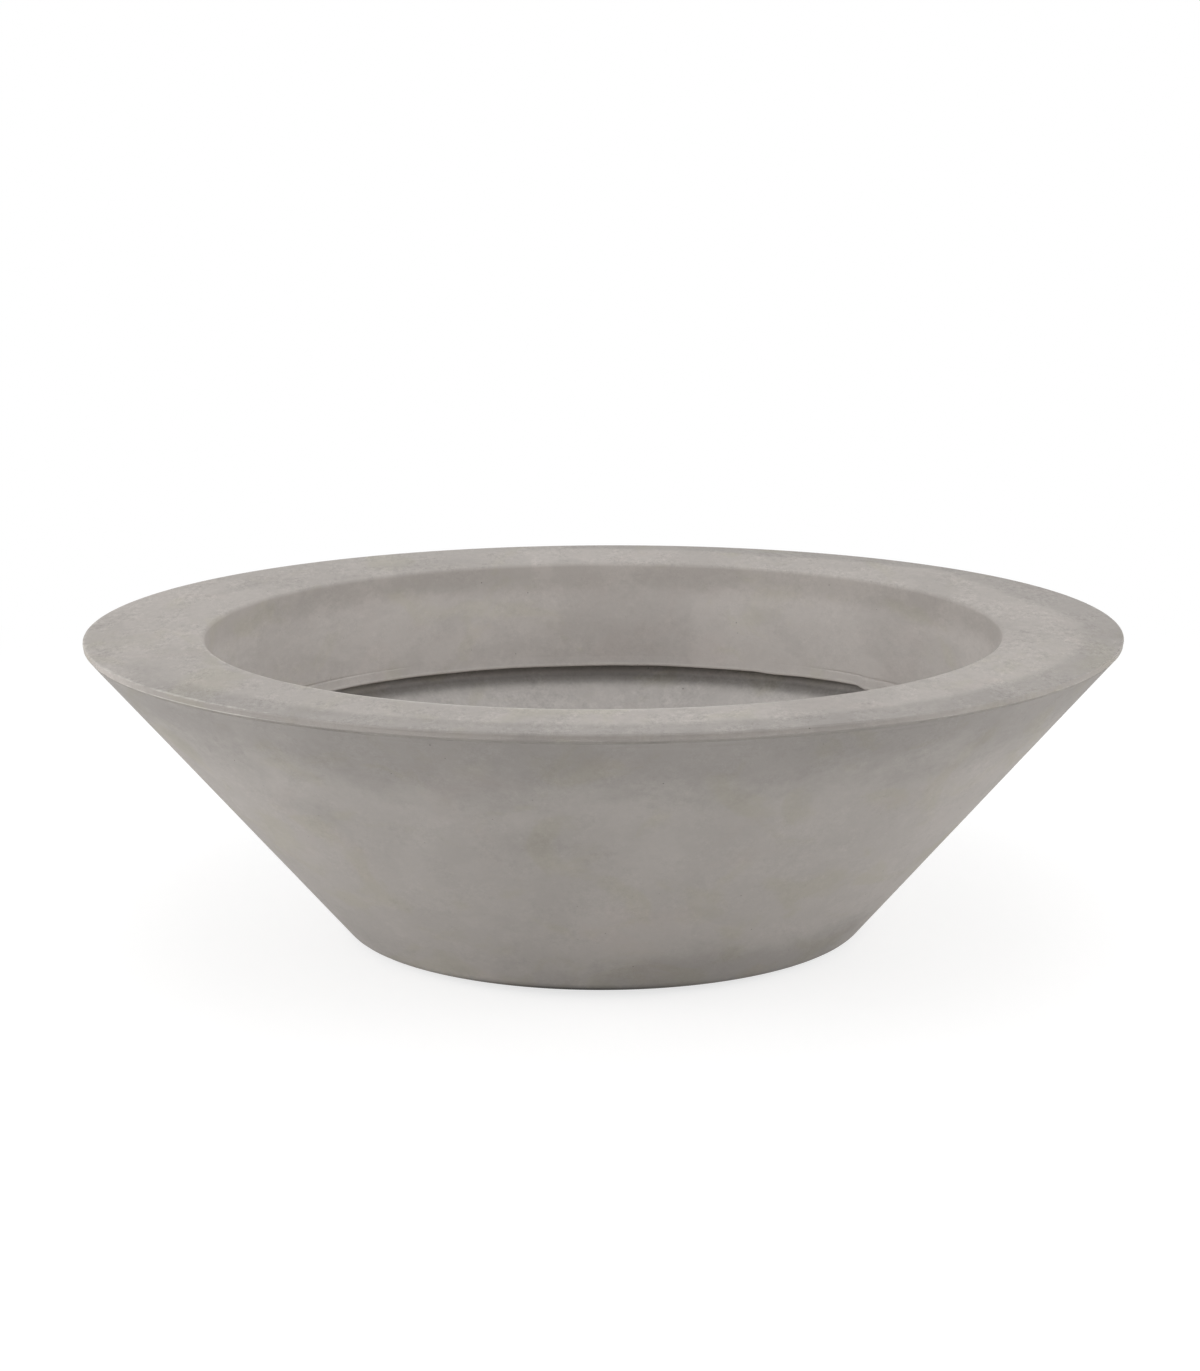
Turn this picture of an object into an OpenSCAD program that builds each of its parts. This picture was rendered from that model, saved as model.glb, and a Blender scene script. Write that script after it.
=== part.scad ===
// Low round planter bowl in cast fibre concrete: a conical bowl, a wide flat rim with a turned-in
// skirt bonded on top of it, a drain with a lift-out plug, and rubber pads under the base.
// Millimetres, +Z up, origin on the ground under the middle of the bowl.

/* [Bowl] */
// Diameter across the outer edge of the rim
rim_d = 914; // [700:2:1200]
// Height from the underside of the base to the crest line of the rim
body_h = 270.4; // [220:0.2:380]
// Diameter at which the line of the wall meets the underside of the base
base_d = 461; // [361:2:601]
// Radius of the outside corner between wall and base
base_corner_r = 14.5; // [3:0.5:20]
// Thickness of the conical wall, square to its face
wall_t = 12; // [9:0.5:16]
// Thickness of the floor
floor_t = 16; // [12:0.5:24]
// Radius of the inside corner between floor and wall
inner_corner_r = 26; // [8:1:40]
// Radius that breaks the top edges of the wall
arris_r = 0.8; // [0.2:0.1:1.5]

/* [Rim] */
// Radius of the outer nose, which runs on from the wall
nose_r = 6.2; // [4:0.1:9]
// Radius of the corner between the nose and the top of the rim
edge_corner_r = 2; // [1:0.5:3.5]
// Distance from the outer edge in to the crest line
crest_in = 35; // [20:1:60]
// Fall of the rim's top from the crest line out to its edge
crest_fall_out = 0.8; // [0:0.1:3]
// Fall of the rim's top from the crest line in to the opening
crest_fall_in = 1.9; // [0:0.1:5]
// Radius that softens the crest line
crest_soft_r = 150; // [20:10:300]
// Width of the rim, from its outer edge in to where its top meets the line of the skirt
rim_w = 106; // [77:1:217]
// Radius of the inner edge of the rim
inner_edge_r = 9; // [4:0.5:14]
// Thickness of the rim plate, from the crest line down
plate_t = 12; // [10:0.5:18]
// Radius of the inside corner between the plate and the skirt
plate_corner_r = 8; // [2:1:14]

/* [Skirt] */
// Depth from the crest line down to the lower edge of the skirt
skirt_depth = 104.2; // [60:0.2:130]
// Level gap between the lower edge of the skirt and the inside of the wall
skirt_clear = 10.5; // [3:0.5:120]
// Thickness of the skirt at its top
skirt_t = 10; // [7:0.5:14]
// Thickness of the skirt at its lower edge
skirt_toe_t = 8; // [5:0.5:12]
// Radius that breaks the lower edges of the skirt
toe_arris_r = 1.5; // [0.5:0.1:2.4]

/* [Bonded joint] */
// Thickness of the mortar bed between the wall's top and the rim
bed_t = 1.5; // [0.8:0.1:3]
// How far the bed stays back from the outer face
bed_setback = 0.8; // [0.3:0.1:2]
// Mortar gap between the wall's inside and the rim's locating shoulder
shoulder_gap = 1.5; // [0.8:0.1:3]
// Width of the mortar fillet along the underside of the plate
fillet_w = 30; // [22:1:40]
// Height of the mortar fillet down the wall
fillet_h = 22; // [16:1:30]
// Diameter of the steel reinforcing rod
hoop_rod_d = 6; // [4:0.5:8]
// Cover of mortar between the rod and both faces of the corner
hoop_cover = 3; // [2:0.5:4]
// Gap that keeps the mortar's curved faces just off the wall and the rod
bond_gap = 0.2; // [0.1:0.05:0.5]

/* [Drain] */
// Bore of the drain sleeve
drain_bore_d = 32; // [24:1:40]
// Wall of the drain sleeve
sleeve_t = 2.5; // [2:0.25:4]
// Width of the sleeve's flange beyond its tube
flange_w = 10.5; // [7:0.5:16]
// Thickness of the sleeve's flange
flange_t = 3; // [2:0.25:4]
// Radius of the flange's outer edge, and the chamfer at the mouth of the bore
flange_edge = 1; // [0.4:0.1:1.6]
// How far the sleeve's lower end stays above the underside of the base
sleeve_setback = 1; // [0:0.25:3]
// Radial clearance of the sleeve and its flange in the floor
sleeve_clear = 0.3; // [0.1:0.05:0.8]
// Thickness of the flat seal under the flange
seal_t = 1.5; // [1:0.25:2.5]

/* [Plug] */
// Radial clearance between the plug's stem and the bore
plug_clear = 0.35; // [0.3:0.05:0.8]
// Length of the plug's stem below its head
stem_l = 13; // [8:0.5:14]
// Taper of the stem, as the loss in radius at its lower end
stem_taper = 1.2; // [0.4:0.1:2.5]
// How far the plug's head reaches past the bore
head_lap = 7; // [4:0.5:9]
// Thickness of the plug's head
head_t = 5; // [3:0.5:8]
// Diameter of the knob that the plug is lifted by
knob_d = 22; // [16:0.5:28]
// Thickness of the knob
knob_t = 7; // [5:0.5:10]
// Diameter of the neck under the knob
neck_d = 12; // [8:0.5:14]
// Height of the neck under the knob
neck_h = 8; // [6:0.5:12]

/* [Pads] */
// Number of pads under the base
foot_count = 4; // [3:1:6]
// Diameter of a pad
foot_d = 60; // [40:1:80]
// How far a pad stands out of the base
foot_proud = 4; // [2:0.5:8]
// Depth of the pocket that a pad is glued into
foot_pocket = 2; // [1:0.25:4]
// Radial clearance of a pad in its pocket
foot_clear = 0.5; // [0.2:0.1:1]
// Diameter of the circle that the pads' centres lie on
foot_circle_d = 330; // [260:2:360]
// Chamfer of a pad's lower edge
foot_chamfer = 1; // [0.5:0.25:1.5]

/* [Hidden] */

$fn = 180;
arc_step = 9; // degrees between the points of a rounded corner

base_z = foot_proud;
floor_z = base_z + floor_t;
top_z = base_z + body_h;
base_r = base_d / 2;
rim_r = rim_d / 2;

// The nose and the corner above it meet at the rim's widest point, where both are upright.
nose_z = top_z - crest_fall_out - edge_corner_r;
nose_c = [rim_r - nose_r, nose_z];
edge_corner_c = [rim_r - edge_corner_r, nose_z];

// The wall is the straight line from the base that touches the nose: its lean from upright.
to_nose = nose_c - [base_r, base_z];
wall_lean = atan2(to_nose.x, to_nose.y) + asin(nose_r / norm(to_nose));
wall_level_t = wall_t / cos(wall_lean);
seam_z = nose_z - nose_r * sin(wall_lean);
wall_top_z = seam_z - bed_t;

plate_under_z = top_z - plate_t;
shoulder_r = wall_in(plate_under_z) - shoulder_gap;
opening_r = rim_r - rim_w;
toe_z = top_z - skirt_depth;
toe_r = wall_in(toe_z) - skirt_clear - skirt_toe_t;

// The rod lies in the corner between the wall and the plate, with the same cover to both.
hoop_off = hoop_cover + hoop_rod_d / 2;
hoop_z = plate_under_z - hoop_off;
hoop_r = wall_in(hoop_z) - hoop_off / cos(wall_lean);

bore_r = drain_bore_d / 2;
sleeve_r = bore_r + sleeve_t;
flange_r = sleeve_r + flange_w;
drain_hole_r = sleeve_r + sleeve_clear;
seat_r = flange_r + sleeve_clear;
flange_under_z = floor_z - flange_t;
seat_z = flange_under_z - seal_t;

concrete = [0.655, 0.635, 0.615];
mortar = [0.56, 0.545, 0.525];
steel = [0.62, 0.63, 0.64];
black_plastic = [0.10, 0.10, 0.11];
black_rubber = [0.07, 0.07, 0.07];
grey_rubber = [0.22, 0.22, 0.22];

// Radius of the wall's outer and inner face at height z.
function wall_out(z) = base_r + (z - base_z) * tan(wall_lean);
function wall_in(z) = wall_out(z) - wall_level_t;
function mortar_out(z) = wall_in(z) - bond_gap / cos(wall_lean);

function foot_name(i) = str("foot_", i);
function foot_angle(i) = 360 / foot_count * (i - 0.5);

function unit(v) = v / norm(v);
function turned(v, a) = [v.x * cos(a) - v.y * sin(a), v.x * sin(a) + v.y * cos(a)];

// Points on an arc about c, each with no corner radius of its own.
function arc(c, r, a0, a1) =
    let (steps = max(1, ceil(abs(a1 - a0) / arc_step)))
    [for (k = [0 : steps]) let (a = a0 + (a1 - a0) * k / steps)
        [c.x + r * cos(a), c.y + r * sin(a), 0]];

// The corner at p, between the sides towards a and b, rounded to the radius in p's third value.
function corner(a, p, b) =
    let (
        at = [p.x, p.y],
        u = unit([a.x, a.y] - at),
        v = unit([b.x, b.y] - at),
        half = acos(u * v) / 2,
        reach = p.z / tan(half),
        centre = at + unit(u + v) * p.z / sin(half),
        from = at + u * reach - centre,
        to = at + v * reach - centre,
        turn = (180 - 2 * half) * sign(cross(from, to)),
        steps = max(1, ceil(abs(turn) / arc_step)))
    [for (k = [0 : steps]) centre + turned(from, turn * k / steps)];

// A closed outline from [r, z, corner radius] points.
function rounded(pts) =
    let (n = len(pts))
    [for (i = [0 : n - 1]) let (p = pts[i])
        each (p.z == 0 ? [[p.x, p.y]] : corner(pts[(i + n - 1) % n], p, pts[(i + 1) % n]))];

module turn_profile(pts) {
    rotate_extrude() polygon(rounded(pts));
}

module at_foot(i) {
    rotate(foot_angle(i)) translate([foot_circle_d / 2, 0, 0]) children();
}

// Conical wall and floor, with the drain hole, its seat for the flange, and the pads' pockets.
module bowl_shell() {
    color(concrete) difference() {
        turn_profile([
            [drain_hole_r, base_z, 0],
            [base_r, base_z, base_corner_r],
            [wall_out(wall_top_z), wall_top_z, arris_r],
            [wall_in(wall_top_z), wall_top_z, arris_r],
            [wall_in(floor_z), floor_z, inner_corner_r],
            [seat_r, floor_z, 0],
            [seat_r, seat_z, 0],
            [drain_hole_r, seat_z, 0]]);
        for (i = [1 : foot_count])
            at_foot(i) cylinder(r = foot_d / 2 + foot_clear, h = base_z + foot_pocket);
    }
}

// Rim plate with its nose, the skirt that hangs in the opening, and the shoulder that centres it.
module rim_ring() {
    color(concrete) turn_profile(concat(
        arc(nose_c, nose_r, -wall_lean, 0),
        arc(edge_corner_c, edge_corner_r, arc_step, 90),
        [[rim_r - crest_in, top_z, crest_soft_r],
         [opening_r, top_z - crest_fall_in, inner_edge_r],
         [toe_r, toe_z, toe_arris_r],
         [toe_r + skirt_toe_t, toe_z, toe_arris_r],
         [opening_r + skirt_t, plate_under_z, plate_corner_r],
         [shoulder_r, plate_under_z, arris_r],
         [shoulder_r, seam_z, 0]]));
}

// Mortar: the bed on the wall's top, the joint behind the shoulder and the fillet round the rod.
module bond_mortar() {
    color(mortar) rotate_extrude() difference() {
        polygon([
            [wall_out(wall_top_z) - bed_setback, wall_top_z],
            [wall_out(seam_z) - bed_setback, seam_z],
            [shoulder_r, seam_z],
            [shoulder_r, plate_under_z],
            [shoulder_r - fillet_w, plate_under_z],
            [mortar_out(plate_under_z - fillet_h), plate_under_z - fillet_h],
            [mortar_out(wall_top_z), wall_top_z]]);
        translate([hoop_r, hoop_z]) circle(r = hoop_rod_d / 2 + bond_gap);
    }
}

// Steel rod bent to a hoop, buried in the fillet.
module rim_hoop() {
    color(steel) rotate_extrude() translate([hoop_r, hoop_z]) circle(d = hoop_rod_d);
}

// Flanged tube that lines the drain hole.
module drain_sleeve() {
    color(black_plastic) turn_profile([
        [bore_r, base_z + sleeve_setback, 0],
        [sleeve_r, base_z + sleeve_setback, 0],
        [sleeve_r, flange_under_z, 0],
        [flange_r, flange_under_z, 0],
        [flange_r, floor_z, flange_edge],
        [bore_r + flange_edge, floor_z, 0],
        [bore_r, floor_z - flange_edge, 0]]);
}

// Flat ring between the flange and its seat in the floor.
module drain_seal() {
    color(black_rubber) translate([0, 0, seat_z]) difference() {
        cylinder(r = flange_r, h = seal_t);
        translate([0, 0, -1]) cylinder(r = drain_hole_r, h = seal_t + 2);
    }
}

// Stopper: tapered stem in the bore, head on the flange, knob to lift it by.
module drain_plug() {
    stem_r = bore_r - plug_clear;
    head_r = bore_r + head_lap;
    head_z = floor_z + head_t;
    knob_z = head_z + neck_h;
    color(grey_rubber) turn_profile([
        [0, floor_z - stem_l, 0],
        [stem_r - stem_taper, floor_z - stem_l, 1],
        [stem_r, floor_z, 0],
        [head_r, floor_z, 0.5],
        [head_r, head_z, 1.5],
        [neck_d / 2, head_z, 1.5],
        [neck_d / 2, knob_z, 1.5],
        [knob_d / 2, knob_z, 2],
        [knob_d / 2, knob_z + knob_t, 2],
        [0, knob_z + knob_t, 0]]);
}

// Round pad glued into its pocket in the base.
module foot(i) {
    foot_r = foot_d / 2;
    color(black_rubber) at_foot(i) turn_profile([
        [0, 0, 0],
        [foot_r - foot_chamfer, 0, 0],
        [foot_r, foot_chamfer, 0],
        [foot_r, base_z + foot_pocket, 0],
        [0, base_z + foot_pocket, 0]]);
}

bowl_shell();
rim_ring();
bond_mortar();
rim_hoop();
drain_sleeve();
drain_seal();
drain_plug();
for (i = [1 : foot_count])
    foot(i);
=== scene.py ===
"""Low concrete bowl planter.

Finer cast surfaces and finishes round the CAD frame, a plain studio, and the photograph's camera.
"""

import logging
import math
from collections.abc import Callable, Iterable
from dataclasses import dataclass, field
from enum import Enum

import bpy
import numpy as np
from mathutils import Euler, Matrix, Vector, noise


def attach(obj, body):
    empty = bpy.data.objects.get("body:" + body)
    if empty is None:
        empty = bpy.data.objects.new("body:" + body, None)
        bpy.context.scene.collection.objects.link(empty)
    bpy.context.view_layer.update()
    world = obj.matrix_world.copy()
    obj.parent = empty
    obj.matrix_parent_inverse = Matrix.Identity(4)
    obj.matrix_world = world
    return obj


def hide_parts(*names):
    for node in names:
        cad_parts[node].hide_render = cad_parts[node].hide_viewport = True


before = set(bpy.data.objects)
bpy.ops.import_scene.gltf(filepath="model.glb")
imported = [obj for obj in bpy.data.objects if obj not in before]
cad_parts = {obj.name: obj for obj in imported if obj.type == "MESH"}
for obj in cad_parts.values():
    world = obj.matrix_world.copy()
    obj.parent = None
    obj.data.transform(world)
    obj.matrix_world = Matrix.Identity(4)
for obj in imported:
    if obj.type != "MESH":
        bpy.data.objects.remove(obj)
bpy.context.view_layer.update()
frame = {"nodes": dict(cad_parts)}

MM = 0.001
PHOTO_WIDTH = 1200
PHOTO_HEIGHT = 1371
SENSOR = 36.0
WHITE = (1.0, 1.0, 1.0, 1.0)

Socket = bpy.types.NodeSocket
Value = float | tuple | Socket
log = logging.getLogger("planter")


# ---------------------------------------------------------------- numbers and colours


def linear(colour: str) -> tuple[float, float, float, float]:
    """Turns a written colour into the values that Blender works in.

    Args:
        colour: six hexadecimal digits after a hash mark, as an sRGB colour.

    Returns:
        Linear red, green and blue, and an alpha of 1.
    """
    parts = [int(colour[i : i + 2], 16) / 255 for i in (1, 3, 5)]
    low = [p / 12.92 if p <= 0.04045 else ((p + 0.055) / 1.055) ** 2.4 for p in parts]
    return (low[0], low[1], low[2], 1.0)


def smooth_step(values: np.ndarray, start: float, end: float) -> np.ndarray:
    """Rises smoothly from 0 at start to 1 at end, or falls if end lies below start.

    Args:
        values: the numbers to place between the two ends.
        start: where the result is 0.
        end: where the result is 1.

    Returns:
        An array as long as values.
    """
    share = np.clip((values - start) / (end - start), 0.0, 1.0)
    return share * share * (3 - 2 * share)


def near(values: np.ndarray, centre: float, reach: float | np.ndarray) -> np.ndarray:
    """Peaks at 1 on centre and fades away over reach.

    Args:
        values: the numbers to compare with centre.
        centre: where the result is 1.
        reach: the distance at which about a third is left, one for all values or one for each.

    Returns:
        An array as long as values.
    """
    return np.exp(-(((values - centre) / reach) ** 2))


def uneven(points: np.ndarray, size: float, offset: float = 0.0) -> np.ndarray:
    """Smooth unevenness in space, between about -1 and 1, the same in every run.

    Args:
        points: one row of x, y and z for each vertex, in mm.
        size: the width of one swell, in mm.
        offset: moves the pattern, so that two uses differ.

    Returns:
        One number for each point.
    """
    places = (points / size + offset).tolist()
    return np.fromiter((noise.noise(p) for p in places), float, len(places))


def at_least(least: float, share: np.ndarray) -> np.ndarray:
    """Squeezes a share from 0 to 1 into the range from least to 1."""
    return least + (1 - least) * share


@dataclass(frozen=True)
class Ramp:
    """A smooth rise from 0 at start to 1 at end, or a fall if end lies below start.

    start, end: measured from the level that it is used at.
    """

    start: float
    end: float

    def over(self, values: np.ndarray, level: float = 0.0) -> np.ndarray:
        """How far each value has passed along the ramp, from 0 to 1."""
        return smooth_step(values, level + self.start, level + self.end)


@dataclass(frozen=True)
class Peak:
    """A soft peak of 1.

    at: its middle, measured from the level that it is used at. reach: where about a third is left.
    """

    at: float
    reach: float

    def over(self, values: np.ndarray, level: float = 0.0) -> np.ndarray:
        """How high the peak is at each value, from 0 to 1."""
        return near(values, level + self.at, self.reach)


@dataclass(frozen=True)
class Swell:
    """Unevenness of one width.

    height: how strong it is, up or down. width: of one swell, in mm. offset: sets its pattern apart.
    """

    height: float
    width: float
    offset: float

    def over(self, points: np.ndarray) -> np.ndarray:
        """Its strength at each point, up or down."""
        return self.height * uneven(points, self.width, self.offset)

    def sunk(self, points: np.ndarray) -> np.ndarray:
        """The same, but only downwards."""
        return self.height * (uneven(points, self.width, self.offset) - 1) / 2


@dataclass(frozen=True)
class Patchy:
    """A strength that comes and goes: a middle level and swells about it, kept between least and 1."""

    middle: float
    swells: tuple[Swell, ...]
    least: float = 0.0

    def over(self, points: np.ndarray) -> np.ndarray:
        """Its strength at each point."""
        level = self.middle + sum(swell.over(points) for swell in self.swells)
        return np.clip(level, self.least, 1.0)


# ---------------------------------------------------------------- places


def polar(angle: float, r: float) -> Vector:
    """The point at that angle, in radians, and that radius, at height 0."""
    return Vector((math.cos(angle), math.sin(angle), 0)) * r


def into_scene(title: str, data: bpy.types.ID) -> bpy.types.Object:
    """Makes an object of a mesh, light or camera and puts it into the scene.

    Args:
        title: the object's name.
        data: what it shows.

    Returns:
        The object.
    """
    made = bpy.data.objects.new(title, data)
    bpy.context.scene.collection.objects.link(made)
    return made


# ---------------------------------------------------------------- sizes


@dataclass(frozen=True)
class PlanterSizes:
    """The planter's own sizes in mm, as in the part's source."""

    rim_d: float = 914.0
    body_h: float = 270.4
    base_d: float = 461.0
    base_corner_r: float = 14.5
    wall_t: float = 12.0
    floor_t: float = 16.0
    inner_corner_r: float = 26.0
    arris_r: float = 0.8
    nose_r: float = 6.2
    edge_corner_r: float = 2.0
    crest_in: float = 35.0
    crest_fall_out: float = 0.8
    crest_fall_in: float = 1.9
    crest_soft_r: float = 150.0
    rim_w: float = 106.0
    plate_t: float = 12.0
    plate_corner_r: float = 8.0
    skirt_depth: float = 104.2
    skirt_clear: float = 10.5
    skirt_t: float = 10.0
    skirt_toe_t: float = 8.0
    toe_arris_r: float = 1.5
    bed_t: float = 1.5
    shoulder_gap: float = 1.5
    fillet_w: float = 30.0
    fillet_h: float = 22.0
    bond_gap: float = 0.2
    hoop_rod_d: float = 6.0
    hoop_cover: float = 3.0
    drain_hole_r: float = 18.8
    seat_r: float = 29.3
    seat_depth: float = 4.5
    foot_count: int = 4
    foot_d: float = 60.0
    foot_proud: float = 4.0
    foot_pocket: float = 2.0
    foot_clear: float = 0.5
    foot_circle_d: float = 330.0

    @property
    def rim_r(self) -> float:
        """Radius of the rim's outer edge."""
        return self.rim_d / 2

    @property
    def base_r(self) -> float:
        """Radius at which the wall's line meets the base."""
        return self.base_d / 2

    @property
    def base_z(self) -> float:
        """Height of the base's underside."""
        return self.foot_proud

    @property
    def floor_z(self) -> float:
        """Height of the floor inside the bowl."""
        return self.base_z + self.floor_t

    @property
    def top_z(self) -> float:
        """Height of the rim's crest."""
        return self.base_z + self.body_h

    @property
    def nose_z(self) -> float:
        """Height of the rim's widest point."""
        return self.top_z - self.crest_fall_out - self.edge_corner_r

    @property
    def lean(self) -> float:
        """The wall's lean from upright, in radians."""
        across = self.rim_r - self.nose_r - self.base_r
        up = self.nose_z - self.base_z
        return math.atan2(across, up) + math.asin(self.nose_r / math.hypot(across, up))

    @property
    def seam_z(self) -> float:
        """Height of the rim's lower face, on the mortar bed."""
        return self.nose_z - self.nose_r * math.sin(self.lean)

    @property
    def wall_top_z(self) -> float:
        """Height of the wall's top, under the mortar bed."""
        return self.seam_z - self.bed_t

    @property
    def plate_under_z(self) -> float:
        """Height of the rim plate's underside."""
        return self.top_z - self.plate_t

    @property
    def shoulder_r(self) -> float:
        """Radius of the shoulder that centres the rim in the wall."""
        return self.wall_in(self.plate_under_z) - self.shoulder_gap

    @property
    def rod_z(self) -> float:
        """Height of the rod's centre, in the corner under the rim plate."""
        return self.plate_under_z - self.hoop_cover - self.hoop_rod_d / 2

    @property
    def rod_r(self) -> float:
        """Radius of the hoop that the rod's centre follows."""
        return self.wall_in(self.rod_z) - (self.hoop_cover + self.hoop_rod_d / 2) / math.cos(self.lean)

    @property
    def opening_r(self) -> float:
        """Radius at which the lines of the rim's top and of the skirt meet."""
        return self.rim_r - self.rim_w

    @property
    def toe_z(self) -> float:
        """Height of the skirt's lower edge."""
        return self.top_z - self.skirt_depth

    @property
    def toe_r(self) -> float:
        """Inner radius of the skirt's lower edge."""
        return self.wall_in(self.toe_z) - self.skirt_clear - self.skirt_toe_t

    def wall_out(self, z: float) -> float:
        """Radius of the wall's outer face at height z."""
        return self.base_r + (z - self.base_z) * math.tan(self.lean)

    def wall_in(self, z: float) -> float:
        """Radius of the wall's inner face at height z."""
        return self.wall_out(z) - self.wall_t / math.cos(self.lean)

    def mortar_out(self, z: float) -> float:
        """Radius of the mortar's face behind the wall at height z."""
        return self.wall_in(z) - self.bond_gap / math.cos(self.lean)


# ---------------------------------------------------------------- turned castings


class Face(Enum):
    """How a stretch of a casting's surface was made; its value is the material's place on the object."""

    MOULDED = 0
    SPRAYED = 1


@dataclass(frozen=True)
class Stretch:
    """A point of an outline and the stretch that runs from it to the next point.

    r, z: the point, in mm. round_r: the radius of the corner there. step: the longest side of a
    face along the stretch, in mm. face: how the stretch's surface was made.
    """

    r: float
    z: float
    round_r: float = 0.0
    step: float = 4.0
    face: Face = Face.MOULDED


@dataclass
class Outline:
    """The closed section of a casting or of a hollow in it, as fine points."""

    points: np.ndarray
    faces: list[Face]
    hollow: bool = False

    @classmethod
    def through(cls, stretches: list[Stretch], arc_step: float = 9.0) -> "Outline":
        """Rounds the corners and divides the stretches between them.

        Args:
            stretches: the section's corners in order, without repeating the first.
            arc_step: degrees between the points of a rounded corner.

        Returns:
            The outline, with one face kind for the side after each point.
        """
        points: list[np.ndarray] = []
        faces: list[Face] = []
        count = len(stretches)
        corners = [
            cls._corner(stretches[i - 1], stretches[i], stretches[(i + 1) % count], arc_step)
            for i in range(count)
        ]
        for i, stretch in enumerate(stretches):
            corner = corners[i]
            points += corner
            faces += [stretch.face] * (len(corner) - 1)
            gap = corners[(i + 1) % count][0] - corner[-1]
            parts = max(1, math.ceil(np.linalg.norm(gap) / stretch.step))
            points += [corner[-1] + gap * k / parts for k in range(1, parts)]
            faces += [stretch.face] * parts
        return cls(np.array(points), faces)

    @classmethod
    def tunnel(cls, r: float, z: float, radius: float, sides: int = 20) -> "Outline":
        """A round hollow that runs right round the ring.

        Args:
            r: the radius of the ring that its centre follows.
            z: the height of its centre.
            radius: its own radius.
            sides: how many flat sides it has.

        Returns:
            The hollow's outline.
        """
        turns = np.arange(sides) * (2 * math.pi / sides)
        points = np.stack([r + radius * np.cos(turns), z + radius * np.sin(turns)], axis=1)
        return cls(points, [Face.MOULDED] * sides, hollow=True)

    @staticmethod
    def _corner(before: Stretch, at: Stretch, after: Stretch, arc_step: float) -> list[np.ndarray]:
        """The points of one rounded corner.

        Args:
            before: the corner before this one.
            at: this corner.
            after: the corner after this one.
            arc_step: degrees between its points.

        Returns:
            One point if the corner is sharp, or else the points of its arc.
        """
        place = np.array([at.r, at.z])
        if at.round_r == 0:
            return [place]
        u = np.array([before.r, before.z]) - place
        v = np.array([after.r, after.z]) - place
        u /= np.linalg.norm(u)
        v /= np.linalg.norm(v)
        half = math.acos(float(u @ v)) / 2
        centre = place + (u + v) / np.linalg.norm(u + v) * at.round_r / math.sin(half)
        start = place + u * at.round_r / math.tan(half) - centre
        end = place + v * at.round_r / math.tan(half) - centre
        turn = (math.pi - 2 * half) * math.copysign(1, start[0] * end[1] - start[1] * end[0])
        steps = max(2, math.ceil(abs(math.degrees(turn)) / arc_step))
        made = []
        for k in range(steps + 1):
            c, s = math.cos(turn * k / steps), math.sin(turn * k / steps)
            made.append(centre + np.array([start[0] * c - start[1] * s, start[0] * s + start[1] * c]))
        return made

    @property
    def run(self) -> np.ndarray:
        """The distance along the outline at each point, in mm."""
        sides = np.linalg.norm(np.diff(self.points, axis=0), axis=1)
        return np.concatenate([[0.0], np.cumsum(sides)])

    @property
    def turns_left(self) -> bool:
        """Whether the points run round the material on their left."""
        r, z = self.points.T
        area = float(np.sum(r * np.roll(z, -1) - np.roll(r, -1) * z))
        return (area > 0) != self.hollow

    @property
    def outward(self) -> np.ndarray:
        """The direction out of the material at each point."""
        along = np.roll(self.points, -1, axis=0) - np.roll(self.points, 1, axis=0)
        side = np.stack([along[:, 1], -along[:, 0]], axis=1)
        side /= np.linalg.norm(side, axis=1)[:, None]
        return side if self.turns_left else -side


@dataclass
class Turned:
    """Every vertex of a turned casting, row by row, while its surface is being shaped."""

    r: np.ndarray
    z: np.ndarray
    angle: np.ndarray
    run: np.ndarray

    @property
    def points(self) -> np.ndarray:
        """x, y and z of each vertex, in mm."""
        return np.stack([self.r * np.cos(self.angle), self.r * np.sin(self.angle), self.z], axis=1)

    @property
    def around(self) -> np.ndarray:
        """x and y of each vertex at one level, for what changes only round the ring."""
        return self.points * [1, 1, 0]

    @property
    def degrees(self) -> np.ndarray:
        """The angle of each vertex from +X towards +Y, in degrees."""
        return np.degrees(self.angle)

    @property
    def right(self) -> np.ndarray:
        """1 on the side towards +X, and -1 on the opposite side."""
        return np.cos(self.angle)

    @property
    def front(self) -> np.ndarray:
        """1 on the side towards -Y, and -1 on the opposite side."""
        return -np.sin(self.angle)


Marks = dict[str, np.ndarray]


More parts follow.
